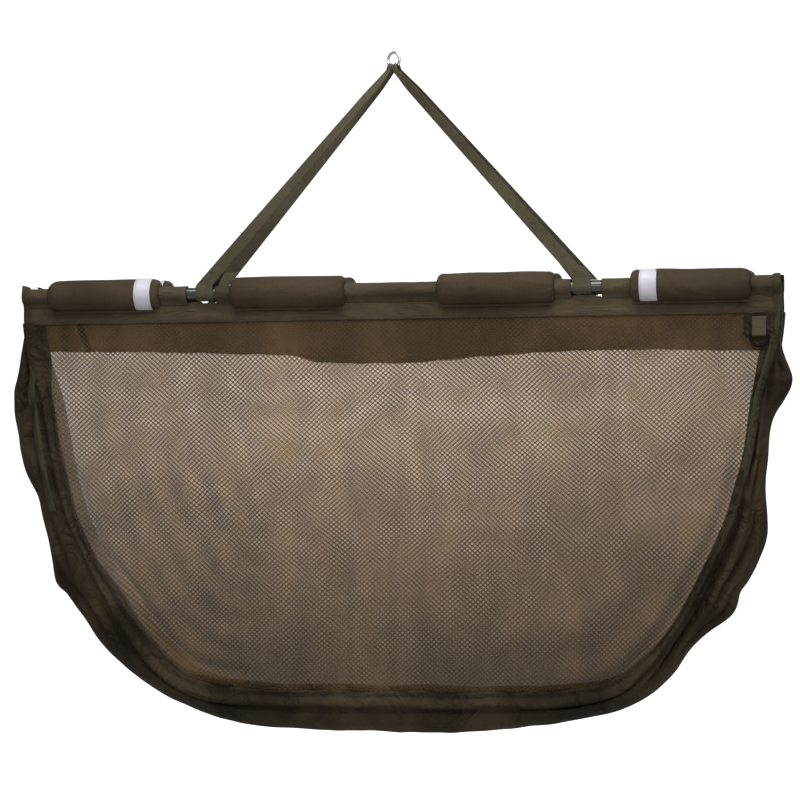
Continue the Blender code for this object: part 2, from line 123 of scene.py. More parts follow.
# Side seam: shares of half the width, of the depth, and of the bulge at left and right
seam_shares = (
    (1.000, 0.000, 0.05, 0.01),
    (0.999, 0.070, 0.10, 0.02),
    (0.988, 0.147, 0.42, 0.12),
    (0.968, 0.205, 0.82, 0.56),
    (0.949, 0.261, 1.00, 0.54),
    (0.938, 0.320, 1.00, 0.34),
    (0.921, 0.408, 1.00, 0.39),
    (0.8985, 0.485, 0.84, 0.54),
    (0.872, 0.565, 0.90, 0.86),
    (0.825, 0.654, 1.23, 0.95),
    (0.805, 0.690, 1.13, 0.89),
    (0.779, 0.735, 1.04, 0.95),
    (0.728, 0.817, 0.90, 0.57),
    (0.649, 0.908, 0.69, 0.60),
    (0.570, 0.964, 0.48, 0.51),
    (0.460, 0.992, 0.59, 0.45),
    (0.316, 0.999, 0.68, 0.63),
    (0.000, 1.000, 0.78, 0.78),
)

# Flap's lower edge: shares of its half length and of its depth
flap_edge_shares = (
    (-1.00, 0.78),
    (-0.66, 0.81),
    (-0.40, 0.86),
    (-0.28, 0.88),
    (-0.19, 0.98),
    (0.02, 1.00),
    (0.22, 0.93),
    (0.55, 0.86),
    (1.00, 0.90),
)

# Strap from its loop on the ring to the bar: shares of the way, of the width, of the turn
strap_width_shares = (
    (0.00, 0.00, 1.00),
    (0.04, 0.25, 1.00),
    (0.09, 0.55, 0.95),
    (0.20, 0.63, 0.80),
    (0.40, 0.72, 0.50),
    (0.60, 0.82, 0.25),
    (0.80, 0.92, 0.05),
    (1.00, 1.00, 0.00),
)


# Camera and light


# Camera: turn and roll in radians, lens in millimetres, places in metres
camera_turn = math.radians(12)
camera_roll = -0.0105
camera_lens = 126.5
camera_aside = 0.0040
camera_away = 4.191
camera_height = -0.5157
floor_size = 14
floor_height = -1.30
wall_height = 6
wall_bend = 2

# Lamps: name, place, aim, width, height, power
lamps = (
    ("top_light", (0.2, -1.1, 1.5), (0, 0.1, -0.5), 2.6, 1.2, 62),
    ("front_light", (0.1, -3.7, 0.5), (0, 0, -0.6), 1.8, 1.4, 21),
    ("side_light", (2.6, -2.4, 0.3), (0.3, 0, -0.6), 1.2, 1.2, 15),
    ("back_light", (0, 2.6, 0.5), (0, 0, -0.6), 2.4, 1.6, 30),
)


def linked(name, data):
    """A new object of the data, in the scene."""
    obj = bpy.data.objects.new(name, data)
    bpy.context.scene.collection.objects.link(obj)
    return obj


def place_camera():
    """A long lens, a little to one side of straight ahead."""
    right = Vector((math.cos(camera_turn), math.sin(camera_turn), 0))
    forward = Vector((-math.sin(camera_turn), math.cos(camera_turn), 0))
    data = bpy.data.cameras.new("camera")
    data.lens = camera_lens
    data.sensor_width = 36
    camera = linked("camera", data)
    place = right * camera_aside - forward * camera_away + Vector((0, 0, camera_height))
    turn = (
        Matrix.Rotation(camera_turn, 4, "Z")
        @ Matrix.Rotation(math.pi / 2, 4, "X")
        @ Matrix.Rotation(camera_roll, 4, "Z")
    )
    camera.matrix_world = Matrix.Translation(place) @ turn
    bpy.context.scene.camera = camera


def soft_light(name, place, aim, width, height, power):
    """A lamp as wide and high as it says, turned to what it lights."""
    data = bpy.data.lights.new(name, "AREA")
    data.shape = "RECTANGLE"
    data.size = width
    data.size_y = height
    data.energy = power
    lamp = linked(name, data)
    lamp.location = place
    way = Vector(aim) - Vector(place)
    lamp.rotation_euler = way.to_track_quat("-Z", "Y").to_euler()


def seen_brighter(tree, lit, seen):
    """A strength that is higher where the camera sees it than where it lights the sling."""
    path = tree.nodes.new("ShaderNodeLightPath").outputs["Is Camera Ray"]
    return maths(tree, "MULTIPLY_ADD", path, seen - lit, lit)


def backdrop():
    """White floor that bends up into a wall behind the sling."""
    bpy.ops.object.select_all(action="DESELECT")
    bpy.ops.mesh.primitive_plane_add(size=floor_size, location=(0, 0, floor_height))
    floor = bpy.context.object
    floor.name = "studio_floor"
    far = floor_size / 2 - 1
    edit_chosen(floor, "EDGE", lambda edge: all(vert.co.y > far for vert in edge.verts))
    bpy.ops.mesh.extrude_region_move(TRANSFORM_OT_translate={"value": (0, 0, wall_height)})
    bpy.ops.object.mode_set(mode="OBJECT")
    round_rims(floor, wall_bend, 30, 16)
    settle(floor)
    floor.data.shade_smooth()
    paint, tree, shader = blank("pale_floor")
    painted = {
        "Base Color": (0.60, 0.60, 0.60, 1),
        "Roughness": 0.9,
        "Specular IOR Level": 0.1,
        "Emission Color": (1, 1, 1, 1),
        "Emission Strength": seen_brighter(tree, 0.0, 0.95),
    }
    fill(tree, shader, painted)
    floor.data.materials.append(paint)


def studio():
    """White light all round, four lamps and the backdrop."""
    scene = bpy.context.scene
    scene.view_settings.view_transform = "Standard"
    scene.view_settings.look = "None"
    scene.world = bpy.data.worlds.new("studio")
    scene.world.use_nodes = True
    tree = scene.world.node_tree
    sky = {"Color": (1, 1, 1, 1), "Strength": seen_brighter(tree, 0.32, 1.0)}
    fill(tree, tree.nodes["Background"], sky)
    for lamp in lamps:
        soft_light(*lamp)
    backdrop()


# Node groups


def fill(tree, made, sockets):
    """Gives a node its links and values, by the name or number of each socket."""
    for key, value in sockets.items():
        if isinstance(value, bpy.types.NodeSocket):
            tree.links.new(value, made.inputs[key])
        else:
            made.inputs[key].default_value = value


def node(tree, kind, sockets=None, **settings):
    """A node with its settings, links and values."""
    made = tree.nodes.new(kind)
    for key, value in settings.items():
        setattr(made, key, value)
    fill(tree, made, sockets or {})
    return made


def placed(tree, group, **sockets):
    """One of the node groups, put into a tree."""
    return node(tree, "ShaderNodeGroup", sockets, node_tree=groups[group]).outputs


def maths(tree, operation, first, second=0.0, third=0.0):
    """The outcome of one sum."""
    made = node(tree, "ShaderNodeMath", {0: first, 1: second, 2: third}, operation=operation)
    return made.outputs[0]


def ramp(tree, value, start, end, low=0.0, high=1.0):
    """Runs from low to high while the value runs from start to end, and is level outside."""
    spans = {"Value": value, "From Min": start, "From Max": end, "To Min": low, "To Max": high}
    return node(tree, "ShaderNodeMapRange", spans).outputs[0]


def clouds(tree, place, scale, detail, distortion=0.0):
    """Smooth noise between 0 and 1."""
    sizes = {"Vector": place, "Scale": scale, "Detail": detail, "Distortion": distortion}
    return node(tree, "ShaderNodeTexNoise", sizes).outputs["Fac"]


def stretched(tree, place, amounts):
    """A place times an amount for each direction."""
    made = node(tree, "ShaderNodeVectorMath", {0: place, 1: amounts}, operation="MULTIPLY")
    return made.outputs[0]


def dimmed(tree, colour, amount):
    """A colour times one amount."""
    made = node(tree, "ShaderNodeVectorMath", {0: colour, "Scale": amount}, operation="SCALE")
    return made.outputs[0]


def mixed(tree, share, first, second):
    """A colour between two. A Mix node's colour sockets go by number: 6 and 7 in, 2 out."""
    made = node(tree, "ShaderNodeMix", {0: share, 6: first, 7: second}, data_type="RGBA")
    return made.outputs[2]


def split(tree, place):
    """A place's parts, by the names X, Y and Z."""
    return node(tree, "ShaderNodeSeparateXYZ", {0: place}).outputs


def new_group(name, inputs, outputs):
    """An empty node group, with its given sockets and the ones to be filled."""
    tree = bpy.data.node_groups.new(name, "ShaderNodeTree")
    for way, sockets in (("INPUT", inputs), ("OUTPUT", outputs)):
        for label, kind in sockets.items():
            tree.interface.new_socket(name=label, in_out=way, socket_type=f"NodeSocket{kind}")
    return tree, tree.nodes.new("NodeGroupInput").outputs, tree.nodes.new("NodeGroupOutput")


def woven_threads():
    """Height and uneven tone of a plain weave laid along the cloth's own map."""
    tree, given, out = new_group(
        "woven_threads",
        {"Map": "Vector", "Across": "Float", "Along": "Float"},
        {"Height": "Float", "Shade": "Float"},
    )
    parts = split(tree, given["Map"])
    warp = maths(tree, "SINE", maths(tree, "MULTIPLY", parts["X"], given["Across"]))
    weft = maths(tree, "SINE", maths(tree, "MULTIPLY", parts["Y"], given["Along"]))
    height = maths(tree, "MULTIPLY_ADD", maths(tree, "MULTIPLY", warp, weft), 0.5, 0.5)
    fill(tree, out, {"Height": height, "Shade": clouds(tree, given["Map"], 260, 2)})
    return tree


def soft_creases():
    """Ridges of small creases, and a slow light and dark drift, over the piece's place."""
    tree, given, out = new_group(
        "soft_creases",
        {"Place": "Vector", "Scale": "Float", "Stretch": "Vector"},
        {"Height": "Float", "Drift": "Float"},
    )
    drawn = stretched(tree, given["Place"], given["Stretch"])
    ripple = clouds(tree, drawn, given["Scale"], 3, 0.8)
    ridge = maths(tree, "ABSOLUTE", maths(tree, "MULTIPLY_ADD", ripple, 4, -2))
    height = maths(tree, "MINIMUM", ridge, 1)
    fill(tree, out, {"Height": height, "Drift": clouds(tree, given["Place"], 9, 4)})
    return tree


def tone_with_crease_shade():
    """A colour that drifts from dark to light, with an uneven yarn tone, and painted shade that darkens
    it in the creases.
    """
    tree, given, out = new_group(
        "tone_with_crease_shade",
        {"Dark": "Color", "Light": "Color", "Drift": "Float", "Thread": "Float", "Crease": "Float"},
        {"Color": "Color"},
    )
    spread = ramp(tree, given["Drift"], 0.35, 0.65)
    colour = mixed(tree, spread, given["Dark"], given["Light"])
    thread = maths(tree, "MULTIPLY_ADD", given["Thread"], 0.35, 0.72)
    # painted shade: darker where the crease height is low
    crease = maths(tree, "MULTIPLY_ADD", given["Crease"], 0.22, 0.80)
    shade = maths(tree, "MULTIPLY", thread, crease)
    fill(tree, out, {"Color": dimmed(tree, colour, shade)})
    return tree


def rubbed_metal():
    """Fine scratches and smudges for metal and gloss coats."""
    tree, given, out = new_group(
        "rubbed_metal",
        {"Place": "Vector", "Low": "Float", "High": "Float"},
        {"Roughness": "Float", "Height": "Float"},
    )
    scratch = clouds(tree, stretched(tree, given["Place"], (40, 900, 900)), 1, 3)
    smudge = clouds(tree, given["Place"], 45, 2)
    spread = maths(tree, "MULTIPLY", maths(tree, "MULTIPLY", scratch, smudge), 3)
    rough = ramp(tree, spread, 0, 1, given["Low"], given["High"])
    fill(tree, out, {"Roughness": rough, "Height": scratch})
    return tree


groups = {
    "threads": woven_threads(),
    "creases": soft_creases(),
    "colour": tone_with_crease_shade(),
    "metal": rubbed_metal(),
}


# Finishes


# Threads to a millimetre are given to the weave as radians to a metre
radians_to_a_metre = 6283


def blank(name):
    """A new finish, its tree and its shader."""
    made = bpy.data.materials.new(name)
    made.use_nodes = True
    tree = made.node_tree
    shader = tree.nodes["Principled BSDF"]
    return made, tree, shader


def own_place(tree):
    """The place on the piece itself, in metres."""
    return node(tree, "ShaderNodeTexCoord").outputs["Object"]


def own_threads(tree):
    """The place on the cloth's own map, in metres."""
    return node(tree, "ShaderNodeUVMap", uv_map="threads").outputs[0]


def bump(tree, shader, *heights):
    """Bumps one over the other: pairs of a height and how deep it is in metres."""
    normal = None
    for height, depth in heights:
        made = node(tree, "ShaderNodeBump", {"Height": height, "Distance": depth, "Strength": 1})
        if normal is not None:
            tree.links.new(normal, made.inputs["Normal"])
        normal = made.outputs["Normal"]
    tree.links.new(normal, shader.inputs["Normal"])


def cloth_finish(
    name, dark, light, crease_scale, crease_depth, rough, sheen=0.03,
    threads=(1.6, 1.6), thread_depth=0.0001, stretch=(1, 1, 1),
):
    """Woven cloth: threads to a millimetre, creases with painted shade in them, and a colour from dark
    to light.
    """
    made, tree, shader = blank(name)
    across, along = (count * radians_to_a_metre for count in threads)
    weave = placed(tree, "threads", Map=own_threads(tree), Across=across, Along=along)
    crease = placed(tree, "creases", Place=own_place(tree), Scale=crease_scale, Stretch=stretch)
    colour = placed(
        tree,
        "colour",
        Dark=(*dark, 1),
        Light=(*light, 1),
        Drift=crease["Drift"],
        Thread=weave["Shade"],
        Crease=crease["Height"],
    )
    look = {
        "Base Color": colour["Color"],
        "Roughness": maths(tree, "MULTIPLY_ADD", crease["Drift"], 0.2, rough - 0.1),
        "Sheen Weight": sheen,
        "Sheen Roughness": 0.4,
        "Sheen Tint": (*light, 1),
        "Specular IOR Level": 0.12,
    }
    fill(tree, shader, look)
    bump(tree, shader, (crease["Height"], crease_depth), (weave["Height"], thread_depth))
    return made


def line_through(tree, value, places):
    """A curve through places, pairs of a share along and the share there."""
    line = node(tree, "ShaderNodeFloatCurve", {"Value": value})
    curve = line.mapping.curves[0]
    for along, share in places[1:-1]:
        curve.points.new(along, share)
    curve.points[0].location = places[0]
    curve.points[len(curve.points) - 1].location = places[-1]
    line.mapping.update()
    return line.outputs[0]


def flap_line(tree, across):
    """How deep the mouth flap's lower edge hangs, for a place across the sling."""
    share = maths(tree, "MULTIPLY_ADD", across, 0.5 / flap_half, 0.5)
    places = [(0.5 + x / 2, depth) for x, depth in flap_edge_shares]
    return maths(tree, "MULTIPLY", line_through(tree, share, places), flap_depth)


def left_seam_distance(tree, across, depth):
    """How far a place lies to the right of the left side seam."""
    share = maths(tree, "MULTIPLY", depth, 1 / bag_depth)
    reach = line_through(tree, share, [(row[1], row[0]) for row in seam_shares])
    return maths(tree, "MULTIPLY_ADD", reach, half_width, across)


def flap_pleat_shade(tree, across, depth, past_flap):
    """Painted shade on the mesh where the flap behind it is pleated, one pleat upright and one leaning.
    """
    leaning = maths(tree, "MULTIPLY_ADD", depth, -0.405, across)
    shades = []
    for value, middle, dark in ((across, -0.508, 0.80), (leaning, -0.5031, 0.52)):
        aside = maths(tree, "ABSOLUTE", maths(tree, "SUBTRACT", value, middle))
        dim = ramp(tree, aside, 0.0025, 0.0085, dark)
        shades.append(maths(tree, "MULTIPLY_ADD", maths(tree, "SUBTRACT", 1, dim), past_flap, dim))
    return maths(tree, "MULTIPLY", *shades)


def hole_distance(tree, cloth_map):
    """Six-sided distance from the nearest of two staggered sets of holes."""
    parts = split(tree, cloth_map)
    column = maths(tree, "MULTIPLY", parts["X"], 1 / mesh_column)
    course = maths(tree, "MULTIPLY", parts["Y"], 1 / mesh_course)
    beside = maths(tree, "PINGPONG", column, 0.5)
    below = maths(tree, "PINGPONG", course, 0.5)
    between = (maths(tree, "SUBTRACT", 0.5, beside), maths(tree, "SUBTRACT", 0.5, below))
    distances = []
    for sideways, upright in ((beside, below), between):
        slanted = maths(tree, "MULTIPLY_ADD", sideways, 1.25, maths(tree, "MULTIPLY", upright, 0.8))
        level = maths(tree, "MULTIPLY", upright, 1.45)
        distances.append(maths(tree, "MAXIMUM", slanted, level))
    return maths(tree, "MINIMUM", *distances)


def mesh_cover(tree, spot, from_rim):
    """How much the mesh hides: the yarns, and a film in the holes that carries the painted glow and
    shade, thicker low and aside.
    """
    # the film in the holes thickens lower down and towards the sides, so the mesh reads darker there
    painted_hole_film = ramp(tree, spot["Z"], -1.00, -0.50, 0.87, 0.47)
    for inner, outer, thicker in ((0.15, 0.45, 0.075), (-0.15, -0.45, 0.040)):
        painted_hole_film = maths(tree, "ADD", painted_hole_film, ramp(tree, spot["X"], inner, outer, 0, thicker))
    return ramp(tree, from_rim, -0.05, 0.05, painted_hole_film, 0.90)


def knitted_mesh_finish():
    """Knitted mesh: staggered six-sided holes between fine yarns, with painted light glowing in the
    holes below the flap, fading towards the bottom and the sides.
    """
    made, tree, shader = blank("knitted_mesh")
    cloth_map = own_threads(tree)
    place = own_place(tree)
    spot = split(tree, place)
    # holes a little smaller lower down, so less backdrop shows through there
    hole_size_by_height = ramp(tree, spot["Z"], -1.00, -0.55, 0.345, 0.405)
    drift = clouds(tree, place, 14, 2)
    size = maths(tree, "MULTIPLY_ADD", drift, 0.06, maths(tree, "SUBTRACT", hole_size_by_height, 0.03))
    from_rim = maths(tree, "SUBTRACT", hole_distance(tree, cloth_map), size)

    # Painted light: a glow for the holes below the flap's edge, brighter higher up, dimmer beside the
    # left seam and towards the sides, and none over the flap
    depth = maths(tree, "SUBTRACT", bar_height, spot["Z"])
    flap_end = flap_line(tree, spot["X"])
    under_flap = ramp(tree, depth, flap_end, maths(tree, "ADD", flap_end, 0.004))
    high = ramp(tree, spot["Z"], -0.95, -0.55)
    from_seam = left_seam_distance(tree, spot["X"], depth)
    painted_shade_by_left_seam = ramp(tree, from_seam, 0.026, 0.038, 0.45)
    off_middle = maths(tree, "MULTIPLY", spot["X"], spot["X"])
    near = maths(tree, "MULTIPLY", painted_shade_by_left_seam, maths(tree, "MULTIPLY_ADD", off_middle, -1.5, 1))
    high = maths(tree, "MULTIPLY", high, near)
    lit = maths(tree, "MULTIPLY_ADD", under_flap, maths(tree, "SUBTRACT", high, 0.12), 0.12)
    # the holes take the painted glow; the yarns stay near their own dark colour
    inside = ramp(tree, from_rim, -0.05, 0.05, 0.29, 0.03)

    crease = placed(tree, "creases", Place=place, Scale=16, Stretch=(1, 1, 0.4))
    uneven = maths(tree, "MULTIPLY_ADD", crease["Drift"], 0.12, 0.29)
    twist = clouds(tree, cloth_map, 1500, 1)
    # Dark is the yarn's colour; Light is the painted glow seen in the holes
    colour = placed(
        tree,
        "colour",
        Dark=(0.072, 0.044, 0.021, 1),
        Light=(0.600, 0.362, 0.165, 1),
        Drift=maths(tree, "MULTIPLY_ADD", lit, inside, uneven),
        Thread=twist,
        Crease=crease["Height"],
    )
    # Painted light: a paler, brighter strip of mesh beside the left seam, below the flap's edge
    outside_painted_strip = ramp(tree, from_seam, 0.030, 0.052)
    outside_painted_strip = maths(tree, "MAXIMUM", outside_painted_strip, maths(tree, "SUBTRACT", 1, under_flap))
    # painted shade of the flap's pleats behind the mesh
    painted_pleat_shade = flap_pleat_shade(tree, spot["X"], depth, under_flap)
    painted_strip_and_pleat_shade = {
        "Color": colour["Color"],
        "Saturation": maths(tree, "MULTIPLY_ADD", outside_painted_strip, 0.36, 0.64),
        "Value": maths(tree, "MULTIPLY", painted_pleat_shade, maths(tree, "MULTIPLY_ADD", outside_painted_strip, -0.30, 1.30)),
    }
    look = {
        "Base Color": node(tree, "ShaderNodeHueSaturation", painted_strip_and_pleat_shade).outputs[0],
        "Alpha": mesh_cover(tree, spot, from_rim),
        "Roughness": maths(tree, "MULTIPLY_ADD", twist, 0.2, 0.70),
        "Sheen Weight": 0.03,
        "Specular IOR Level": 0.12,
    }
    fill(tree, shader, look)
    bump(tree, shader, (ramp(tree, from_rim, 0, 0.2), 0.0006))
    return made


def metal_finish(name, colour, metallic, low, high, depth, coat=0.0, gloss=0.5):
    """Metal or gloss coat, its roughness from low to high, its scratches so deep."""
    made, tree, shader = blank(name)
    place = own_place(tree)
    worn = placed(tree, "metal", Place=place, Low=low, High=high)
    shade = maths(tree, "MULTIPLY_ADD", clouds(tree, place, 30, 3), 0.25, 0.87)
    look = {
        "Base Color": dimmed(tree, colour, shade),
        "Roughness": worn["Roughness"],
        "Metallic": metallic,
        "Coat Weight": coat,
        "Coat Roughness": 0.08,
        "Specular IOR Level": gloss,
    }
    fill(tree, shader, look)
    bump(tree, shader, (worn["Height"], depth))
    return made


def tape_finish():
    """Reflective tape: pale, with a fine pressed lozenge grid and a silky gloss."""
    made, tree, shader = blank("reflective_tape")
    slanted = {"Vector": own_threads(tree), "Rotation": (0, 0, 0.785)}
    turned = node(tree, "ShaderNodeMapping", slanted).outputs[0]
    fine = 0.9 * radians_to_a_metre
    weave = placed(tree, "threads", Map=turned, Across=fine, Along=fine)
    soil = clouds(tree, own_place(tree), 60, 4)
    look = {
        "Base Color": mixed(tree, soil, (0.42, 0.40, 0.46, 1), (0.60, 0.58, 0.65, 1)),
        "Roughness": maths(tree, "MULTIPLY_ADD", weave["Height"], 0.15, 0.35),
        "Coat Weight": 0.2,
    }
    fill(tree, shader, look)
    bump(tree, shader, (weave["Height"], 0.00008))
    return made


# Each cloth: name, dark, light, its creases to a metre and how deep they are, roughness
# Each metal: name, colour, how metallic, least and most roughness, depth of its scratches
finishes = {
    "webbing": cloth_finish(
        "olive_webbing", (0.080, 0.070, 0.043), (0.116, 0.104, 0.065), 60, 0.0003, 0.85,
        sheen=0.04, threads=(0.5, 1.1), thread_depth=0.00025,
    ),
    "sleeve": cloth_finish(
        "bar_sleeve_cloth", (0.057, 0.045, 0.028), (0.092, 0.073, 0.045), 34, 0.0022, 0.80,
        stretch=(0.6, 1, 1),
    ),
    "cover": cloth_finish(
        "float_cover_cloth", (0.052, 0.037, 0.022), (0.074, 0.053, 0.031), 26, 0.0012, 0.78,
        stretch=(0.5, 1, 1),
    ),
    "hem": cloth_finish(
        "hem_cloth", (0.064, 0.047, 0.028), (0.100, 0.075, 0.045), 30, 0.0018, 0.82,
        stretch=(0.5, 1, 1.6),
    ),
    "flap": cloth_finish(
        "mouth_flap_cloth", (0.120, 0.082, 0.045), (0.165, 0.115, 0.063), 22, 0.0015, 0.80
    ),
    "border": cloth_finish(
        "border_cloth", (0.019, 0.0135, 0.0070), (0.062, 0.048, 0.0265), 30, 0.0045, 0.82
    ),
    "gusset": cloth_finish(
        "gusset_cloth", (0.016, 0.0105, 0.0050), (0.062, 0.046, 0.0245), 19, 0.0068, 0.72,
        sheen=0.05,
    ),
    "binding": cloth_finish(
        "binding_tape", (0.042, 0.039, 0.022), (0.066, 0.062, 0.036), 60, 0.0003, 0.85,
        sheen=0.04, threads=(0.7, 1.2), thread_depth=0.0002,
    ),
    "foam": cloth_finish(
        "closed_cell_foam", (0.060, 0.060, 0.060), (0.090, 0.090, 0.090), 120, 0.0004, 0.95,
        sheen=0.0, threads=(2.2, 2.2),
    ),
    "thread": cloth_finish(
        "sewing_thread", (0.060, 0.048, 0.032), (0.090, 0.074, 0.052), 120, 0.0001, 0.70,
        sheen=0.1, threads=(3.0, 3.0),
    ),
    "pale_thread": cloth_finish(
        "band_thread", (0.20, 0.19, 0.21), (0.34, 0.33, 0.36), 120, 0.0001, 0.60,
        sheen=0.1, threads=(3.0, 3.0),
    ),
    "mesh": knitted_mesh_finish(),
    "tape": tape_finish(),
    "chrome": metal_finish("ring_chrome", (0.80, 0.80, 0.82), 1.0, 0.06, 0.20, 0.00002),
    "pole": metal_finish(
        "pole_gloss_coat", (0.020, 0.024, 0.019), 0.0, 0.16, 0.34, 0.00002, coat=0.6
    ),
    "cap": metal_finish("cap_plastic", (0.014, 0.014, 0.014), 0.0, 0.45, 0.65, 0.00004),
    "ferrule": metal_finish("ferrule_metal", (0.50, 0.50, 0.51), 1.0, 0.28, 0.5, 0.00003),
    "d_ring": metal_finish(
        "d_ring_black", (0.006, 0.005, 0.004), 0.0, 0.55, 0.75, 0.00003, gloss=0.10
    ),
}


# Making pieces


def pick(obj):
    """Makes the piece the only chosen one."""
    bpy.ops.object.select_all(action="DESELECT")
    obj.select_set(True)
    bpy.context.view_layer.objects.active = obj


def settle(obj):
    """Applies the piece's modifiers, turn and place, and leaves it picked."""
    pick(obj)
    for modifier in list(obj.modifiers):
        bpy.ops.object.modifier_apply(modifier=modifier.name)
    bpy.ops.object.transform_apply(location=True, rotation=True, scale=True)


def round_rims(obj, width, angle, segments=2):
    """Rounds the edges that turn by more than the angle, in degrees."""
    rim = obj.modifiers.new("rim", "BEVEL")
    rim.width = width
    rim.segments = segments
    rim.limit_method = "ANGLE"
    rim.angle_limit = math.radians(angle)


def edit_chosen(obj, kind, wanted):
    """Opens the piece for editing, with only the wanted faces or edges chosen."""
    bpy.ops.object.mode_set(mode="EDIT")
    bpy.ops.mesh.select_mode(type=kind)
    bpy.ops.mesh.select_all(action="DESELECT")
    bm = bmesh.from_edit_mesh(obj.data)
    for part in bm.faces if kind == "FACE" else bm.edges:
        part.select_set(wanted(part))
    bmesh.update_edit_mesh(obj.data)


def dress(obj, finish, slot, body, *nodes):
    """Gives a piece its finish and body, and hides the CAD nodes that it replaces. The slot is not
    used.
    """
    obj.data.materials.clear()
    obj.data.materials.append(finishes[finish])
    if nodes:
        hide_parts(*nodes)
    if body:
        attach(obj, body)


def shares(count):
    """Even steps from 0 to 1."""
    return [step / count for step in range(count + 1)]


def spread(count):
    """Even steps from -1 to 1."""
    return [2 * share - 1 for share in shares(count)]


def wander(x, y, z, size):
    """Smooth noise between about -1 and 1, with swells as wide as the size."""
    return noise.noise(Vector((x, y, z)) / size)


def ease(value, low, high):
    """Rises gently from 0 at low to 1 at high, and is level outside."""
    share = min(1, max(0, (value - low) / (high - low)))
    return share * share * (3 - 2 * share)


def hump(value, middle, width):
    """A bell of height 1."""
    return math.exp(-(((value - middle) / width) ** 2))


def spline_through(rows, steps):
    """A smooth curve through every row, with so many steps between two of them."""
    rows = [Vector(row) for row in rows]
    ends = [2 * rows[0] - rows[1]] + rows + [2 * rows[-1] - rows[-2]]
    curve = []
    for before, start, end, after in zip(ends, ends[1:], ends[2:], ends[3:]):
        for step in range(steps):
            t = step / steps
            slope_in = (end - before) * t * (1 - t) ** 2 / 2
            slope_out = (after - start) * t * t * (t - 1) / 2
            curve.append(start.lerp(end, t * t * (3 - 2 * t)) + slope_in + slope_out)
    return curve + [rows[-1]]


def run_lengths(points):
    """The run from the first point to each of them."""
    lengths = [0.0]
    for a, b in zip(points, points[1:]):
        lengths.append(lengths[-1] + (b - a).length)
    return lengths


def places_at(points, lengths, runs):
    """Places on a line at rising runs, by the run to each of its points."""
    places = []
    at = 0
    for run in runs:
        while at < len(points) - 2 and lengths[at + 1] < run:
            at += 1
        share = (run - lengths[at]) / (lengths[at + 1] - lengths[at])
        places.append(points[at].lerp(points[at + 1], share))
    return places


def made_of(bm, name):
    """The object made of a mesh under construction."""
    mesh = bpy.data.meshes.new(name)
    bm.to_mesh(mesh)
    bm.free()
    return linked(name, mesh)


def skin(rows, uv_at, closed=False):
    """A mesh with faces between rows of points. uv_at gives a corner's place on the map."""
    bm = bmesh.new()
    threads = bm.loops.layers.uv.new("threads")
    grid = [[bm.verts.new(point) for point in row] for row in rows]
    count = len(rows[0])
    for i in range(len(rows) - 1):
        for j in range(count if closed else count - 1):
            corners = ((i, j), (i, j + 1), (i + 1, j + 1), (i + 1, j))
            face = bm.faces.new([grid[a][b % count] for a, b in corners])
            for loop, (a, b) in zip(face.loops, corners):
                loop[threads].uv = uv_at(a, b)
    return bm, threads, grid


def cloth(name, rows, wall=0.0, flat_map=None, round_edges=0.0):
    """Cloth through rows of points. Its map gives every thread its place in metres."""
    across = run_lengths(rows[len(rows) // 2])
    along = run_lengths([row[len(row) // 2] for row in rows])
    bm, _, _ = skin(rows, lambda a, b: flat_map[a][b] if flat_map else (across[b], along[a]))
    obj = made_of(bm, name)
    obj.data.shade_smooth()
    if wall:
        thick = obj.modifiers.new("wall", "SOLIDIFY")
        thick.thickness = wall
        thick.offset = 0
        thick.use_even_offset = True
    if round_edges:
        round_rims(obj, round_edges, 60)
    settle(obj)
    return obj


def rounded_section(name, sections):
    """A closed skin through closed sections of points, with its ends filled."""
    halfway = sections[len(sections) // 2]
    around = run_lengths(halfway + [halfway[0]])
    along = run_lengths([section[0] for section in sections])
    bm, threads, grid = skin(sections, lambda a, b: (around[b], along[a]), closed=True)
    for section in (grid[0], grid[-1]):
        face = bm.faces.new(section)
        for loop in face.loops:
            loop[threads].uv = (loop.vert.co.y, loop.vert.co.z)
    bmesh.ops.recalc_face_normals(bm, faces=bm.faces)
    obj = made_of(bm, name)
    obj.data.shade_smooth()
    obj.data.set_sharp_from_angle(angle=math.radians(50))
    settle(obj)
    return obj


def stitching(name, runs, finish, slot, body, pitch=0.0034, thread=0.00035):
    """Rows of sewn thread. Each run is a line of points and the way out of the cloth."""
    bm = bmesh.new()
    threads = bm.loops.layers.uv.new("threads")
    for points, way in runs:
        lengths = run_lengths(points)
        numbers = range(int(lengths[-1] / pitch))
        holes = [(number + share) * pitch for number in numbers for share in (0.12, 0.88)]
        ends = places_at(points, lengths, holes)
        for start, end in zip(ends[::2], ends[1::2]):
            out = way(start) if callable(way) else Vector(way)
            side = (end - start).cross(out).normalized() * thread
            middle = (start + end) / 2
            corners = [start, middle + side, end, middle - side, middle + out * thread * 1.6]
            verts = [bm.verts.new(corner) for corner in corners]
            for a, b in ((0, 1), (1, 2), (2, 3), (3, 0)):
                bm.faces.new((verts[a], verts[b], verts[4]))
            bm.faces.new(verts[3::-1])
    for face in bm.faces:
        for loop in face.loops:
            loop[threads].uv = (loop.vert.co.x, loop.vert.co.z)
    bmesh.ops.recalc_face_normals(bm, faces=bm.faces)
    obj = made_of(bm, name)
    dress(obj, finish, slot, body)
    return obj


# Lines of the bag


def panel_reach(depth):
    """How far each panel stands from the middle: the bag widens towards its foot."""
    fall = max(0, depth - hem_bottom) / (bag_depth - hem_bottom)
    return half_spacing + (bottom_reach - half_spacing) * fall


seam_step = 0.005


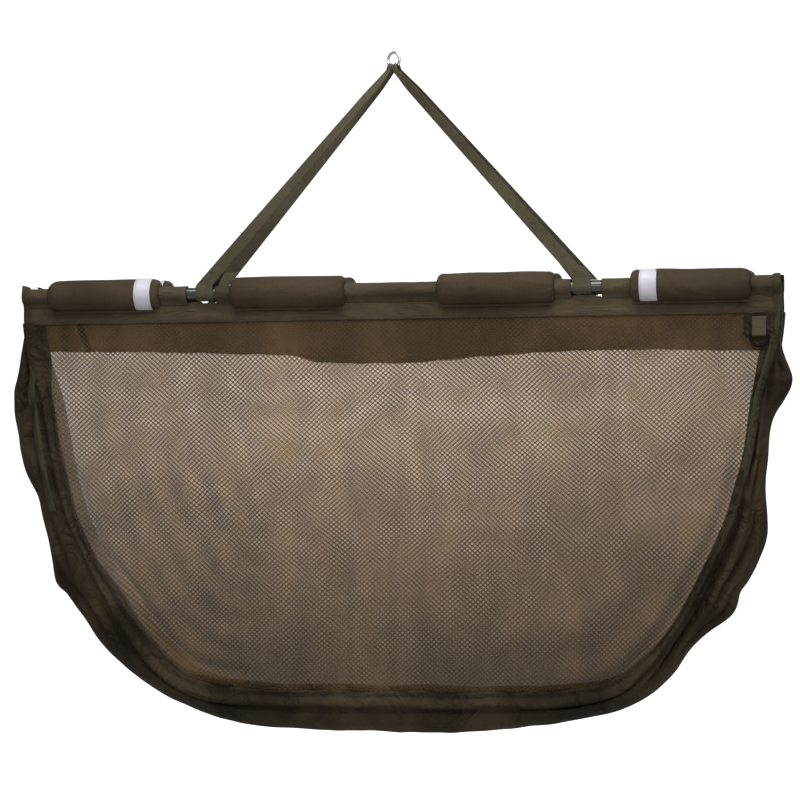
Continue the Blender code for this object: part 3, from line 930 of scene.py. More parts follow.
def seam_line():
    """The side seam at even spacing: (x, depth, bulge, way out, run from the left end)."""
    right = spline_through(seam_shares, 12)
    left_half = [(-r[0] * half_width, r[1] * bag_depth, r[2] * bulge_size) for r in right]
    right_half = [(r[0] * half_width, r[1] * bag_depth, r[3] * bulge_size) for r in right]
    line = [Vector(point) for point in left_half + right_half[-2::-1]]
    lengths = run_lengths([point.xy for point in line])
    count = round(lengths[-1] / seam_step)
    runs = [lengths[-1] * number / count for number in range(count + 1)]
    even = places_at(line, lengths, runs)
    points = []
    for before, point, after, run in zip(even[:1] + even, even, even[1:] + even[-1:], runs):
        way = Vector((after.x - before.x, after.y - before.y)).normalized()
        points.append((point.x, point.y, point.z, Vector((-way.y, way.x)), run))
    return points


seam = seam_line()


def inset_line(gap):
    """The seam moved inwards, from the hem down: gap is a function of the place."""
    line = []
    for x, depth, _, out, _ in seam:
        if depth < hem_bottom - 0.004:
            continue
        move = gap(x, depth)
        line.append([x - out.x * move, depth - out.y * move])
    return line


# Visible width of the border: depth, front left, right, rear left
border_widths = (
    (0.040, 0.030, 0.050, 0.030),
    (0.080, 0.032, 0.048, 0.012),
    (0.092, 0.033, 0.020, 0.006),
    (0.160, 0.014, 0.012, 0.005),
    (0.240, 0.012, 0.010, 0.005),
    (0.350, 0.008, 0.010, 0.005),
    (0.400, 0.007, 0.008, 0.008),
    (0.460, 0.014, 0.007, 0.013),
    (0.520, 0.018, 0.008, 0.017),
    (0.560, 0.020, 0.014, 0.019),
    (0.615, 0.020, 0.020, 0.020),
)


def border_reach(front, x, depth):
    """How far the border's inner edge lies from the seam."""
    column = 2 if x > 0 else (3 if front > 0 else 1)
    wave = 0.0030 * wander(x, 0, 0, 0.07) * ease(depth, 0.50, 0.58)
    for low, high in zip(border_widths, border_widths[1:]):
        if depth <= high[0]:
            share = ease(depth, low[0], high[0])
            return low[column] + (high[column] - low[column]) * share + wave
    return border_widths[-1][column] + wave


def seam_distance(x, depth):
    """How far a place lies from the side seam."""
    return min(math.hypot(x - p[0], depth - p[1]) for p in seam[::2])


# Bag


def front_drape(x, depth, edge):
    """How far the front mesh stands out, in metres."""
    # slack in the middle
    down = ease(depth, 0.06, 0.45)
    out = 0.004 * down * (1 - (x / 0.56) ** 2)
    # a ridge along the left seam, and soft waves beside it
    left = ease(-x, 0.18, 0.26) * ease(depth, 0.16, 0.28)
    ridge = 0.014 + 0.015 * ease(depth, 0.38, 0.46)
    tall = 0.0085 - 0.0045 * ease(depth, 0.46, 0.57)
    out += left * (tall * hump(edge, ridge, 0.0070) - 0.0055 * hump(edge, ridge + 0.016, 0.009))
    out += left * 0.0022 * math.sin(edge * 2 * math.pi / 0.045 + 1) * ease(edge, 0.05, 0.09)
    # tight pulls along the right seam that widen inwards
    right = ease(x, 0.10, 0.34) * ease(depth, 0.10, 0.30)
    phase = edge * 2 * math.pi / (0.024 + 0.22 * edge) + 2.5 * wander(x, depth, 1, 0.25)
    out += right * 0.0040 * math.sin(phase) * ease(edge, 0.022, 0.05) * (1 - 0.5 * ease(edge, 0.1, 0.3))
    out += right * (0.0045 * hump(edge, 0.032, 0.007) - 0.0075 * hump(edge, 0.017, 0.006))
    # upright folds from the hem
    lean = x + 0.10 * (depth - 0.3) * x
    upright = math.sin(lean * 2 * math.pi / 0.070 + 4 * wander(x, 0.3 * depth, 3, 0.12))
    middle = 1 - ease(abs(x), 0.22, 0.45)
    out += 0.0034 * upright * (0.15 + down) * middle
    out += 0.0030 * hump(x, -0.058, 0.006) * ease(depth, 0.06, 0.12)
    out += 0.0030 * wander(x, depth, 7, 0.09) + 0.0012 * wander(x, depth, 9, 0.03)
    return out * ease(depth, hem_bottom, 0.10)


def rear_drape(x, depth, edge):
    """How far the rear mesh stands out, in metres."""
    # slack in the middle
    down = ease(depth, 0.06, 0.45)
    out = 0.005 * down * (1 - (x / 0.56) ** 2)
    # a ridge and a fan of folds along both seams
    beside = ease(abs(x), 0.18, 0.34) * ease(depth, 0.15, 0.32)
    out += beside * (0.0060 * hump(edge, 0.034, 0.008) - 0.0040 * hump(edge, 0.051, 0.010))
    fan = math.atan2(0.66 - abs(x), depth + 0.08)
    wave = math.sin(fan * 28 + 3 * wander(x, depth, 21, 0.2))
    out += beside * 0.0040 * wave * ease(edge, 0.022, 0.05)
    # upright folds from the hem
    upright = math.sin(x * 2 * math.pi / 0.095 + 4 * wander(x, 0.3 * depth, 23, 0.14))
    out += 0.0025 * upright * (0.25 + down) * (1 - ease(abs(x), 0.22, 0.45))
    out += 0.0030 * wander(x, depth, 27, 0.09) + 0.0012 * wander(x, depth, 29, 0.03)
    return out * ease(depth, hem_bottom, 0.10)


def mesh_outline(front):
    """(x, depth) points of the mesh's edge under the border, which never turns back."""
    outline = inset_line(lambda x, depth: border_reach(front, x, depth) - 0.004)
    outline = [point for point in outline if point[1] >= mesh_top]
    for here, after in zip(outline[-2::-1], outline[:0:-1]):
        here[0] = min(here[0], after[0]) if here[0] < 0 else here[0]
    for before, here in zip(outline, outline[1:]):
        here[0] = max(here[0], before[0])
    return outline


def mesh_columns(first, last):
    """Places across the mesh, a little closer together towards its sides."""
    places = []
    for share in shares(236):
        even = first + (last - first) * share
        bent = first + (last - first) * (1 - math.cos(math.pi * share)) / 2
        places.append(even * 0.6 + bent * 0.4)
    return places


def mesh_panel(prefix, front, drape, seed):
    """Knitted mesh hung from the hem, in upright columns, its edge under the border."""
    outline = mesh_outline(front)
    turn = Matrix.Rotation(math.radians(2.5) * (front > 0), 2) * (1.03 if front > 0 else 1)
    downs = shares(118)
    rows = [[] for _ in downs]
    flat = [[] for _ in downs]
    place = 0
    for x in mesh_columns(outline[0][0], outline[-1][0]):
        while place < len(outline) - 2 and outline[place + 1][0] < x + 1e-6 * (x < 0):
            place += 1
        a, b = outline[place], outline[place + 1]
        share = min(1, max(0, (x - a[0]) / max(1e-6, b[0] - a[0])))
        bottom = max(mesh_top + 0.002, a[1] + (b[1] - a[1]) * share)
        for row, flat_row, down in zip(rows, flat, downs):
            depth = mesh_top + (bottom - mesh_top) * down
            edge = seam_distance(x, depth)
            inner = edge - border_reach(front, x, depth)
            out = drape(x, depth, edge) * ease(inner, -0.001, 0.009) - 0.0007
            row.append(Vector((x, front * (panel_reach(depth) + out), bar_height - depth)))
            warp = 0.0040 * wander(x, depth, seed, 0.12)
            lift = 0.0040 * wander(x, depth, seed + 5, 0.12)
            flat_row.append(turn @ Vector((x + warp, depth + lift)))
    obj = cloth(f"{prefix}_mesh_cloth", rows, 0, flat)
    dress(obj, "mesh", "mesh_cloth", f"{prefix}_side", f"{prefix}_mesh_panel")


def border(prefix, front, seed):
    """Solid cloth border, a little gathered where it is sewn, its outer edge turned out."""
    rows = []
    inner_line = []
    for x, depth, _, out, run in seam:
        if depth < hem_bottom - 0.003:
            continue
        width = border_reach(front, x, depth)
        low = ease(depth, 0.30, 0.60)
        ripple = 0.0016 * wander(run, seed, 0, 0.035) + 0.0022 * wander(run, seed, 4, 0.09)
        overhang = 0.0042 + 0.0045 * low * wander(run, seed, 8, 0.06)
        row = []
        for share in shares(8):
            move = width * (1 - share) - overhang * share
            puff = 0.0042 * hump(share, 0.78, 0.20) - 0.0020 * hump(share, 0.42, 0.12)
            proud = 0.0008 + puff + ripple * share + 0.0030 * low * share ** 3
            place = Vector((x - out.x * move, 0, bar_height - depth + out.y * move))
            place.y = front * (panel_reach(depth) + proud)
            row.append(place)
        rows.append(row)
        if depth > hem_bottom + 0.004:
            inner_line.append(row[0].lerp(row[1], 0.7) + Vector((0, front * 0.0009, 0)))
    obj = cloth(f"{prefix}_border_cloth", rows, border_wall)
    dress(obj, "border", "border_cloth", f"{prefix}_side", f"{prefix}_border")
    runs = [(inner_line, (0, front, 0))]
    sewn = stitching(
        f"{prefix}_border_stitching", runs, "thread", "border_cloth", f"{prefix}_side"
    )


def mouth_flap(prefix, front, seed):
    """Solid flap inside the mouth, its free lower edge curled inwards in slow waves."""
    downs = shares(14)
    rows = [[] for _ in downs]
    hem_line = []
    for share_out, share_down in spline_through(flap_edge_shares, 24):
        x = share_out * flap_half
        lower = share_down * flap_depth + 0.0025 * wander(x, seed, 0, 0.03)
        wave = 0.5 + 0.5 * wander(x, seed, 3, 0.07)
        pleat = 0.0022 * hump(x, -0.479, 0.006) - 0.0150 * hump(x, -0.466, 0.0045)
        pleat -= 0.0090 * hump(x, -0.500, 0.006)
        shift = front * flap_shift * (1 - ease(front * -x, 0.47, 0.53) * (front > 0))
        for row, share in zip(rows, downs):
            depth = flap_top + (lower - flap_top) * share
            inside = 0.0026 + 0.0050 * wave * share ** 2 + 0.0008 * wander(x, depth, seed, 0.02)
            inside -= pleat * math.sin(math.pi * share)
            y = front * (panel_reach(depth) - inside)
            row.append(Vector((x + shift, y, bar_height - depth)))
        hem_line.append(rows[-2][-1] + Vector((0, front * 0.0007, 0)))
    obj = cloth(f"{prefix}_flap_cloth", rows, cloth_wall)
    dress(obj, "flap", "flap_cloth", f"{prefix}_side", f"{prefix}_mouth_flap")
    runs = [(hem_line, (0, front, 0))]
    sewn = stitching(f"{prefix}_flap_stitching", runs, "thread", "flap_cloth", f"{prefix}_side")


# Long folds of the gussets: side, then depth and share across at each end, width, how deep
long_folds = (
    (-1, 0.085, -0.94, 0.180, -0.42, 0.09, 0.015),
    (-1, 0.155, -0.82, 0.230, -0.52, 0.08, 0.014),
    (-1, 0.160, -0.90, 0.255, -0.92, 0.05, 0.012),
    (-1, 0.220, -0.68, 0.295, -0.62, 0.07, 0.011),
    (-1, 0.235, -0.83, 0.310, -0.86, 0.05, 0.010),
    (-1, 0.325, -0.52, 0.410, -0.64, 0.07, 0.012),
    (-1, 0.395, -0.48, 0.510, -0.56, 0.07, 0.013),
    (-1, 0.440, -0.82, 0.530, -0.74, 0.07, 0.010),
    (-1, 0.130, 0.75, 0.230, 0.40, 0.10, 0.010),
    (-1, 0.250, 0.50, 0.340, 0.70, 0.09, 0.008),
    (-1, 0.380, 0.75, 0.500, 0.50, 0.09, 0.008),
    (1, 0.080, -0.80, 0.140, -0.40, 0.10, 0.007),
    (1, 0.105, -0.92, 0.180, -0.60, 0.08, 0.009),
    (1, 0.190, -0.86, 0.300, -0.84, 0.07, 0.012),
    (1, 0.230, -0.50, 0.330, -0.62, 0.06, 0.011),
    (1, 0.300, -0.90, 0.475, -0.78, 0.07, 0.020),
    (1, 0.445, -0.82, 0.580, -0.55, 0.08, 0.017),
    (1, 0.300, -0.47, 0.470, -0.60, 0.06, 0.015),
    (1, 0.400, -0.30, 0.520, -0.42, 0.06, 0.012),
    (1, 0.120, 0.80, 0.210, 0.50, 0.10, 0.007),
    (1, 0.300, 0.60, 0.420, 0.80, 0.10, 0.010),
    (1, 0.420, 0.45, 0.540, 0.70, 0.09, 0.009),
)


def gusset_fold(x, depth, run, across):
    """How far the gusset's cloth stands in or out, in metres."""
    side = ease(depth, 0.05, 0.13)
    out = 0.0032 * wander(run, across * 0.05, 12, 0.09) * side * (1 - across ** 4)
    out += 0.0012 * wander(run, across * 0.06, 15, 0.030) * side * (1 - across ** 4)
    for where, start, first, end, last, width, deep in long_folds:
        share = (depth - start) / (end - start)
        if where * x > 0 and 0 < share < 1:
            middle = first + (last - first) * share
            strength = deep * math.sin(math.pi * share) ** 0.7
            out -= strength * math.exp(-abs((across - middle) / width) ** 1.3)
            out += 0.25 * strength * hump(across, middle + 1.9 * width, width)
    return out * (1 - across ** 16)


def gusset_place(point, across):
    """A place on the gusset: across runs from -1 at the front seam to 1 at the rear one."""
    x, depth, swell, out, run = point
    angle = math.pi / 2 * across
    fold = gusset_fold(x, depth, run, across)
    tucked = 0.12 * ease(depth, 0.45, 0.58) * hump(abs(across), 0.88, 0.06)
    move = (swell + fold) * math.cos(angle)
    y = (panel_reach(depth) * (1 - tucked) + fold) * math.sin(angle)
    return Vector((x + out.x * move, y, bar_height - depth - out.y * move))


def seam_allowance(point, front):
    """The gusset's edge, turned in under the border."""
    x, depth, _, out, _ = point
    tuck = 0.55 * border_reach(front, x, max(depth, hem_bottom))
    y = front * (panel_reach(depth) - cloth_wall)
    return Vector((x - out.x * tuck, y, bar_height - depth + out.y * tuck))


def gusset(name, points):
    """One length of the gusset, through its points on the seam."""
    rows = []
    for point in points:
        row = [gusset_place(point, across) for across in spread(64)]
        rows.append([seam_allowance(point, -1)] + row + [seam_allowance(point, 1)])
    obj = cloth(f"{name}_cloth", rows, cloth_wall)
    dress(obj, "gusset", "gusset_cloth", None, name)
    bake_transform(obj)


def gussets():
    """Left side, base and right side, which meet end to end."""
    points = [point for point in seam if point[1] >= gusset_top]
    left = [point for point in points if point[0] < -base_half_length]
    right = [point for point in points if point[0] > base_half_length]
    middle = points[len(left) - 1 : len(points) - len(right) + 1]
    gusset("gusset_left", left)
    gusset("gusset_base", middle)
    gusset("gusset_right", right)


cutout_middle = (cutout_inner + cutout_outer) / 2
# Where the hem stays low in each cut-out, so that a slit is left open beside the strap
hem_slits = (-0.2866, 0.3083)


def hem(prefix, front, seed):
    """Folded hem strip under the sleeve, with two rows of stitching along its foot."""
    proud = hem_wall / 2 + 0.00015
    downs = shares(8)
    rows = [[] for _ in downs]
    sewn = [[], []]
    for along in spread(300):
        x = hem_half * along
        opening = max(hump(x, -cutout_middle, 0.024), hump(x, cutout_middle, 0.024))
        slit = max(hump(x, place, 0.0035) for place in hem_slits)
        high = hem_top - 0.0052 * ease(opening, 0.2, 0.7) * (1 - 0.9 * slit)
        for row, share in zip(rows, downs):
            depth = high + (hem_bottom - high) * share
            loose = math.sin(math.pi * share)
            wave = 0.0012 * wander(x, seed, depth * 3, 0.035) * loose
            wave += 0.0007 * wander(x, seed, depth * 2, 0.012) * loose
            slant = x + 1.4 * depth
            crease = 0.0026 * (hump(slant, 0.5635, 0.004) - hump(slant, 0.556, 0.003)) * (front < 0)
            y = front * (half_spacing + wave + max(crease, -0.0012))
            sag = 0.0008 * wander(x, seed, 9, 0.05) * share
            row.append(Vector((x, y, bar_height - depth - sag)))
        for line, back in zip(sewn, (0.0016, 0.0042)):
            line.append(Vector((x, front * (half_spacing + proud), rows[-1][-1].z + back)))
    obj = cloth(f"{prefix}_hem_cloth", rows, hem_wall, round_edges=0.0006)
    dress(obj, "hem", "sleeve_cloth", f"{prefix}_side", f"{prefix}_hem")
    inner = Vector((0, front * 2 * proud, 0))
    inside = [[point - inner for point in line] for line in sewn]
    runs = [(line, (0, front, 0)) for line in sewn] + [(line, (0, -front, 0)) for line in inside]
    threads = stitching(
        f"{prefix}_hem_stitching", runs, "thread", "sleeve_cloth", f"{prefix}_side"
    )


# Sleeve's route: the share of it from hem to bar at each end, and its angles in degrees
sleeve_folds = 0.08
sleeve_start = -68
sleeve_span = 316


def sleeve_turn(share):
    """Angle round the bar, and how far down to the hem, for a share of the sleeve's route."""
    if share < sleeve_folds:
        return math.radians(sleeve_start), 1 - share / sleeve_folds
    if share > 1 - sleeve_folds:
        return math.radians(sleeve_start + sleeve_span), (share - 1 + sleeve_folds) / sleeve_folds
    round_share = (share - sleeve_folds) / (1 - 2 * sleeve_folds)
    return math.radians(sleeve_start + sleeve_span * round_share), 0


def sleeve(prefix, front, where, start, end, seed):
    """Cloth tube round the bar, drawn down into the hem, with loose wrinkles."""
    count = max(12, round((end - start) / 0.004))
    neck = 0.0012
    rows = []
    for along in shares(count):
        x = start + (end - start) * along
        row = []
        for share in shares(36):
            angle, drop = sleeve_turn(share)
            loose = 0.5 + 0.5 * math.sin(angle)
            swell = 0.0012 * wander(x, seed, math.cos(angle) * 0.02, 0.02)
            swell += 0.0010 * wander(x, seed + 3, angle * 0.01, 0.05)
            radius = sleeve_radius - 0.0005 + max(-0.0004, swell) * (1.2 - 0.6 * loose)
            y = radius * math.cos(angle)
            z = radius * math.sin(angle)
            y += (math.copysign(neck, y) - y) * ease(drop, 0, 1)
            z += (-(hem_top + 0.001) - z) * drop
            row.append(Vector((x, front * half_spacing + y, bar_height + z)))
        rows.append(row)
    obj = cloth(f"{prefix}_sleeve_{where}_cloth", rows, cloth_wall)
    dress(obj, "sleeve", "sleeve_cloth", f"{prefix}_side", f"{prefix}_sleeve_{where}")


def sleeves(prefix, front, seed):
    """Three lengths of sleeve, with the straps' cut-outs between them."""
    sleeve(prefix, front, "left", -sleeve_half, -cutout_outer, seed)
    sleeve(prefix, front, "centre", -cutout_inner, cutout_inner, seed + 1)
    sleeve(prefix, front, "right", cutout_outer, sleeve_half, seed + 2)


# Floats


def round_bar(front, x, radius, angle):
    """A place round the bar: the angle is 0 to the rear and a quarter turn above."""
    y = front * half_spacing + radius * math.cos(angle)
    return Vector((x, y, bar_height + radius * math.sin(angle)))


def slot_to_slot(half_slot):
    """Angles round the bar, from one side of the slot below it to the other, in radians."""
    whole = 2 * math.pi - 2 * half_slot
    return [-math.pi / 2 + half_slot + whole * share for share in shares(48)]


def stitches_round(front, x, radius):
    """A line of sewing round the bar, left open below, and its way out of the cloth."""
    angles = [math.radians(-75 + 330 * share) for share in shares(59)]
    axis = Vector((x, front * half_spacing, bar_height))
    line = [round_bar(front, x, radius, angle) for angle in angles]
    return line, lambda place: (place - axis).normalized()


def float_end(gap, shoulder):
    """(along, radius) points of a rounded end, from the bore's edge to the outside."""
    long, high = shoulder[0] - gap, shoulder[1] - gap
    half = float_length / 2 - gap
    outside = float_radius - gap
    outline = [(-half, float_bore + gap), (-half, (float_bore + gap + outside - high) / 2)]
    for share in shares(8):
        angle = math.pi - math.pi / 2 * share
        outline.append((-half + long + long * math.cos(angle), outside - high + high * math.sin(angle)))
    return outline


def float_section(gap, left, right):
    """(along, radius) points of the closed section, bore edge to bore edge and back."""
    start = float_end(gap, left)
    end = [(-along, up) for along, up in reversed(float_end(gap, right))]
    first, last = start[-1][0], end[0][0]
    top = [(first + (last - first) * share, float_radius - gap) for share in shares(20)[1:-1]]
    half = float_length / 2 - gap
    bore = [(-half * along, float_bore + gap) for along in spread(12)[1:-1]]
    return start + top + end + bore


def float_swell(along, turn, seed):
    """How far a cover stands out over its foam, in metres."""
    ends = 1 - (along / (float_length / 2)) ** 6
    flat = 0.35 + 0.65 * abs(math.sin(turn))
    near = hump(abs(along), float_length / 2 - 0.010, 0.006)
    swell = 0.0006 * ends * flat + 0.0010 * wander(along, seed, turn * 0.012, 0.045) * ends
    return swell - 0.0007 * near * (0.5 + 0.5 * math.sin(turn * 13 + seed))


def float_piece(name, front, reach, shoulders, gap, seed=None):
    """Foam or its cover, turned round the bar and open in a slot below. A seed lets it swell."""
    section = float_section(gap, *shoulders)
    sections = []
    for turn in slot_to_slot(math.asin(float_slot_half / float_bore)):
        ring = []
        for along, radius in section:
            if seed is not None and radius > float_bore + gap + 0.002:
                radius += float_swell(along, turn, seed)
            ring.append(round_bar(front, reach + along, radius, turn))
        sections.append(ring)
    return rounded_section(name, sections)


def float_set(prefix, front, seed):
    """Four floats on a bar, each of foam, cover and lip, with stitches round the shoulders."""
    side = f"{prefix}_side"
    spots = {
        "outer_left": (-outer_float_reach, round_shoulder, tight_shoulder),
        "inner_left": (-inner_float_reach, tight_shoulder, tight_shoulder),
        "inner_right": (inner_float_reach, tight_shoulder, tight_shoulder),
        "outer_right": (outer_float_reach, tight_shoulder, round_shoulder),
    }
    runs = []
    for number, (where, (reach, *shoulders)) in enumerate(spots.items()):
        cover = float_piece(f"{prefix}_float_{where}", front, reach, shoulders, 0, seed + number)
        dress(cover, "cover", "cover_cloth", side, f"{prefix}_float_cover_{where}")
        foam = float_piece(f"{prefix}_foam_{where}", front, reach, shoulders, cover_wall)
        dress(foam, "foam", "foam", side, f"{prefix}_float_core_{where}")
        float_lip(prefix, front, where, reach, seed + number)
        for end, shoulder in zip((-1, 1), shoulders):
            x = reach + end * (float_length / 2 - shoulder[0] - 0.0005)
            runs.append(stitches_round(front, x, float_radius + 0.0004))
    stitching(f"{prefix}_float_stitching", runs, "thread", "cover_cloth", side, 0.003)


def float_lip(prefix, front, where, reach, seed):
    """The edge of hook-and-loop tape that closes the cover below the bar."""
    half = float_length / 2 - 0.006
    downs = shares(6)
    rows = [[] for _ in downs]
    for along in spread(44):
        x = reach + half * along
        slack = 0.0010 * wander(x, seed, 2, 0.04)
        for row, share in zip(rows, downs):
            y = 0.0034 + 0.0052 * share + slack * share
            z = -0.0222 - 0.0045 * share ** 2 + 0.0010 * math.sin(share * 3)
            row.append(Vector((x, front * (half_spacing + y), bar_height + z)))
    lip = cloth(f"{prefix}_float_lip_{where}", rows, 0.0013, round_edges=0.0003)
    dress(lip, "cover", "cover_cloth", f"{prefix}_side")


# A reflective band's section: share of its width, height over the float
band_section = (
    (-0.50, 0.0001),
    (-0.50, 0.0011),
    (-0.47, 0.0014),
    (-0.25, 0.0015),
    (0.00, 0.0015),
    (0.25, 0.0015),
    (0.47, 0.0014),
    (0.50, 0.0011),
    (0.50, 0.0001),
    (0.00, 0.0001),
)
band_slot_half = 0.17


def bands(prefix, front):
    """A reflective band on each outer float, sewn down along both edges."""
    body = f"{prefix}_side"
    for where, side, reach in (("left", -1, band_left), ("right", 1, band_right)):
        sections = []
        for turn in slot_to_slot(band_slot_half):
            wave = 0.0002 * math.sin(turn * 5 + side)
            ring = []
            for share, high in band_section:
                radius = float_radius + high + wave
                ring.append(round_bar(front, reach + share * band_width, radius, turn))
            sections.append(ring)
        band = rounded_section(f"{prefix}_band_{where}", sections)
        dress(band, "tape", "reflective_tape", body, f"{prefix}_reflective_band_{where}")
        places = [reach + share * band_width for share in (-0.40, 0.40)]
        runs = [stitches_round(front, x, float_radius + 0.0017) for x in places]
        name = f"{prefix}_band_stitching_{where}"
        stitching(name, runs, "pale_thread", "reflective_tape", body, 0.003)


# Bars


half_joint = 0.00015
plug_radius = pole_radius - pole_wall - fit_gap


def cylinder_along(name, front, middle, radius, length, sides, side=1):
    """A cylinder along the bar, its head to the right for side 1 and to the left for side -1."""
    bpy.ops.object.select_all(action="DESELECT")
    bpy.ops.mesh.primitive_cylinder_add(
        vertices=sides,
        radius=radius,
        depth=length,
        location=(middle, front * half_spacing, bar_height),
        rotation=(0, side * math.pi / 2, 0),
    )
    made = bpy.context.object
    made.name = name
    return made


def smoothed(obj, angle):
    """Settles a turned piece and smooths what turns by less than the angle, in degrees."""
    bpy.ops.object.mode_set(mode="OBJECT")
    settle(obj)
    bpy.ops.object.shade_smooth_by_angle(angle=math.radians(angle))


def bar_half(prefix, front, where, side):
    """One half of the bar: a tube, bored through, with its rims rounded."""
    length = pole_half - half_joint
    middle = side * (half_joint + length / 2)
    pole = cylinder_along(f"{prefix}_bar_{where}", front, middle, pole_radius, length, 64)
    edit_chosen(pole, "FACE", lambda face: abs(face.normal.z) > 0.9)
    bpy.ops.mesh.inset(thickness=pole_wall, use_individual=True)
    bpy.ops.mesh.bridge_edge_loops()
    round_rims(pole, 0.0003, 60)
    smoothed(pole, 40)
    dress(pole, "pole", "pole_coat", f"{prefix}_side", f"{prefix}_pole_{where}")


def end_cap(prefix, front, where, side):
    """Plug in the bar's end: a stem, a head as wide as the tube, and a dished face."""
    stem = cap_stem_length + fit_gap
    middle = side * (pole_half - cap_stem_length + stem / 2)
    cap = cylinder_along(f"{prefix}_plug_{where}", front, middle, plug_radius, stem, 48, side)
    edit_chosen(cap, "FACE", lambda face: face.normal.z > 0.9)
    bpy.ops.mesh.inset(thickness=plug_radius - pole_radius)
    bpy.ops.mesh.extrude_region_shrink_fatten(
        TRANSFORM_OT_shrink_fatten={"value": cap_head_length}
    )
    bpy.ops.mesh.inset(thickness=0.0022)
    bpy.ops.mesh.inset(thickness=0.0006, depth=-0.0008)
    round_rims(cap, 0.0004, 50)
    smoothed(cap, 40)
    dress(cap, "cap", "cap_plastic", f"{prefix}_side", f"{prefix}_end_cap_{where}")


def ferrule(prefix, front):
    """Rod inside the bar that joins its halves, drawn in a little at both ends."""
    rod = cylinder_along(f"{prefix}_joining_rod", front, 0, plug_radius, ferrule_length, 48)
    edit_chosen(rod, "FACE", lambda face: abs(face.normal.z) > 0.9)
    bpy.ops.mesh.inset(thickness=0.0012, depth=0.0010, use_individual=True)
    smoothed(rod, 30)
    dress(rod, "ferrule", "ferrule_metal", f"{prefix}_side", f"{prefix}_pole_ferrule")


# Straps and ring


weld_turn = math.radians(200)
weld_reach = math.radians(2.4)


def at_weld(face):
    """Whether a face of the ring's wire lies where its ends are welded."""
    middle = face.calc_center_median()
    turn = math.atan2(middle.y, middle.x) % (2 * math.pi)
    return abs(turn - weld_turn) < weld_reach


def lifting_ring():
    """Welded round ring of bright wire."""
    bpy.ops.object.select_all(action="DESELECT")
    bpy.ops.mesh.primitive_torus_add(
        major_radius=ring_radius,
        minor_radius=ring_wire / 2,
        major_segments=112,
        minor_segments=28,
        location=ring_centre,
        rotation=(math.pi / 2, 0, ring_turn),
    )
    ring = bpy.context.object
    ring.name = "bright_ring"
    edit_chosen(ring, "FACE", at_weld)
    bpy.ops.transform.shrink_fatten(value=0.00016)
    bpy.ops.object.mode_set(mode="OBJECT")
    ring.data.shade_smooth()
    settle(ring)
    dress(ring, "chrome", "chrome", "ring", "lifting_ring")


def ring_frame(side):
    """Where a strap's loop sits on the ring's wire, the wire's way there, and the way out."""
    along = Vector((math.cos(ring_turn), math.sin(ring_turn), 0))
    up = Vector((0, 0, 1))
    sine = side * math.sin(ring_loop_turn)
    cosine = math.cos(ring_loop_turn)
    outwards = sine * along - cosine * up
    middle = ring_centre + (ring_radius + ring_loop_sag) * outwards
    return middle, cosine * along + sine * up, outwards


def strap_route(side, front):
    """Places and half-widths of a strap: its loop on the ring, its leg, its wrap on the bar."""
    wire, wire_way, outwards = ring_frame(side)
    ring_front = Vector((math.sin(ring_turn), -math.cos(ring_turn), 0)) * -front
    loop_radius = ring_wire / 2 + ring_loop_clearance + webbing_thickness / 2
    loop_edge = wire_way * ring_loop_half
    first = math.pi / 2 - strap_swing - fit_gap / loop_radius
    loop = []
    for share in shares(10):
        angle = first * (1 - share)
        place = wire + loop_radius * (math.cos(angle) * ring_front - math.sin(angle) * outwards)
        loop.append((place, loop_edge))
    top = wire + loop_radius * ring_front + ring_loop_tail * outwards
    bar = Vector((side * strap_reach, front * half_spacing, bar_height))
    foot = bar + Vector((0, front * wrap_radius, sleeve_radius))
    slant = strap_reach / (-bar_height - ring_bore)
    foot_edge = Vector((webbing_width * math.hypot(1, slant) / 2, 0, 0))
    leg = []
    for down, width_share, turn_share in spline_through(strap_width_shares, 8):
        width_share = min(1, max(0, width_share))
        turned = Matrix.Rotation(ring_turn * turn_share, 3, "Z") @ foot_edge
        leg.append((top.lerp(foot, down), loop_edge.lerp(turned, width_share)))
    wrap = []
    for share in shares(16):
        angle = math.pi * (1 + share)
        y = -front * wrap_radius * math.cos(angle)
        wrap.append((bar + Vector((0, y, wrap_radius * math.sin(angle))), foot_edge))
    back = bar + Vector((0, -front * wrap_radius, sleeve_radius / 2))
    rise = (strap_tail_rise - sleeve_radius) / (top.z - foot.z)
    tail = foot.lerp(top, rise) + Vector((0, -front * (webbing_thickness + fit_gap), 0))
    for share in (0, 0.33, 0.66, 1):
        wrap.append((back.lerp(tail, share), foot_edge))
    return loop, leg, wrap


def strap(name, side, front, body, node_name):
    """One leg of webbing, which cups and hugs the ring's wire where it is gathered."""
    wire, _, outwards = ring_frame(side)
    loop, leg, wrap = strap_route(side, front)
    rows = []
    for middle, edge in loop + leg + wrap:
        gathered = 1 - ease((middle - wire).length, 0.004, 0.030)
        row = []
        for share in spread(12):
            cup = 0.0002 * (1 - share * share) + 0.0003 * gathered * math.sin(share * 7)
            hug = -outwards * gathered * (edge.length * share) ** 2 / (2 * ring_radius)
            row.append(middle + edge * share + Vector((0, front * cup, 0)) + hug)
        rows.append(row)
    obj = cloth(name, rows, webbing_thickness, round_edges=0.0004)
    dress(obj, "webbing", "webbing", body, node_name)
    runs = strap_stitches(leg, front)
    stitching(f"{name}_stitching", runs, "thread", "webbing", body, 0.0028)


def strap_stitches(leg, front):
    """A sewn and crossed box where the strap's end is fixed to its leg above the bar."""
    proud = Vector((0, front * 0.00095, 0))
    foot_place, foot_edge = leg[-1]
    up = (leg[-9][0] - foot_place).normalized()
    corners = []
    for rise, share in ((0.004, -0.8), (0.004, 0.8), (0.026, 0.8), (0.026, -0.8)):
        corners.append(foot_place + up * rise + foot_edge * share + proud)
    pairs = ((0, 1), (1, 2), (2, 3), (3, 0), (0, 2), (1, 3))
    return [([corners[a], corners[b]], (0, front, 0)) for a, b in pairs]


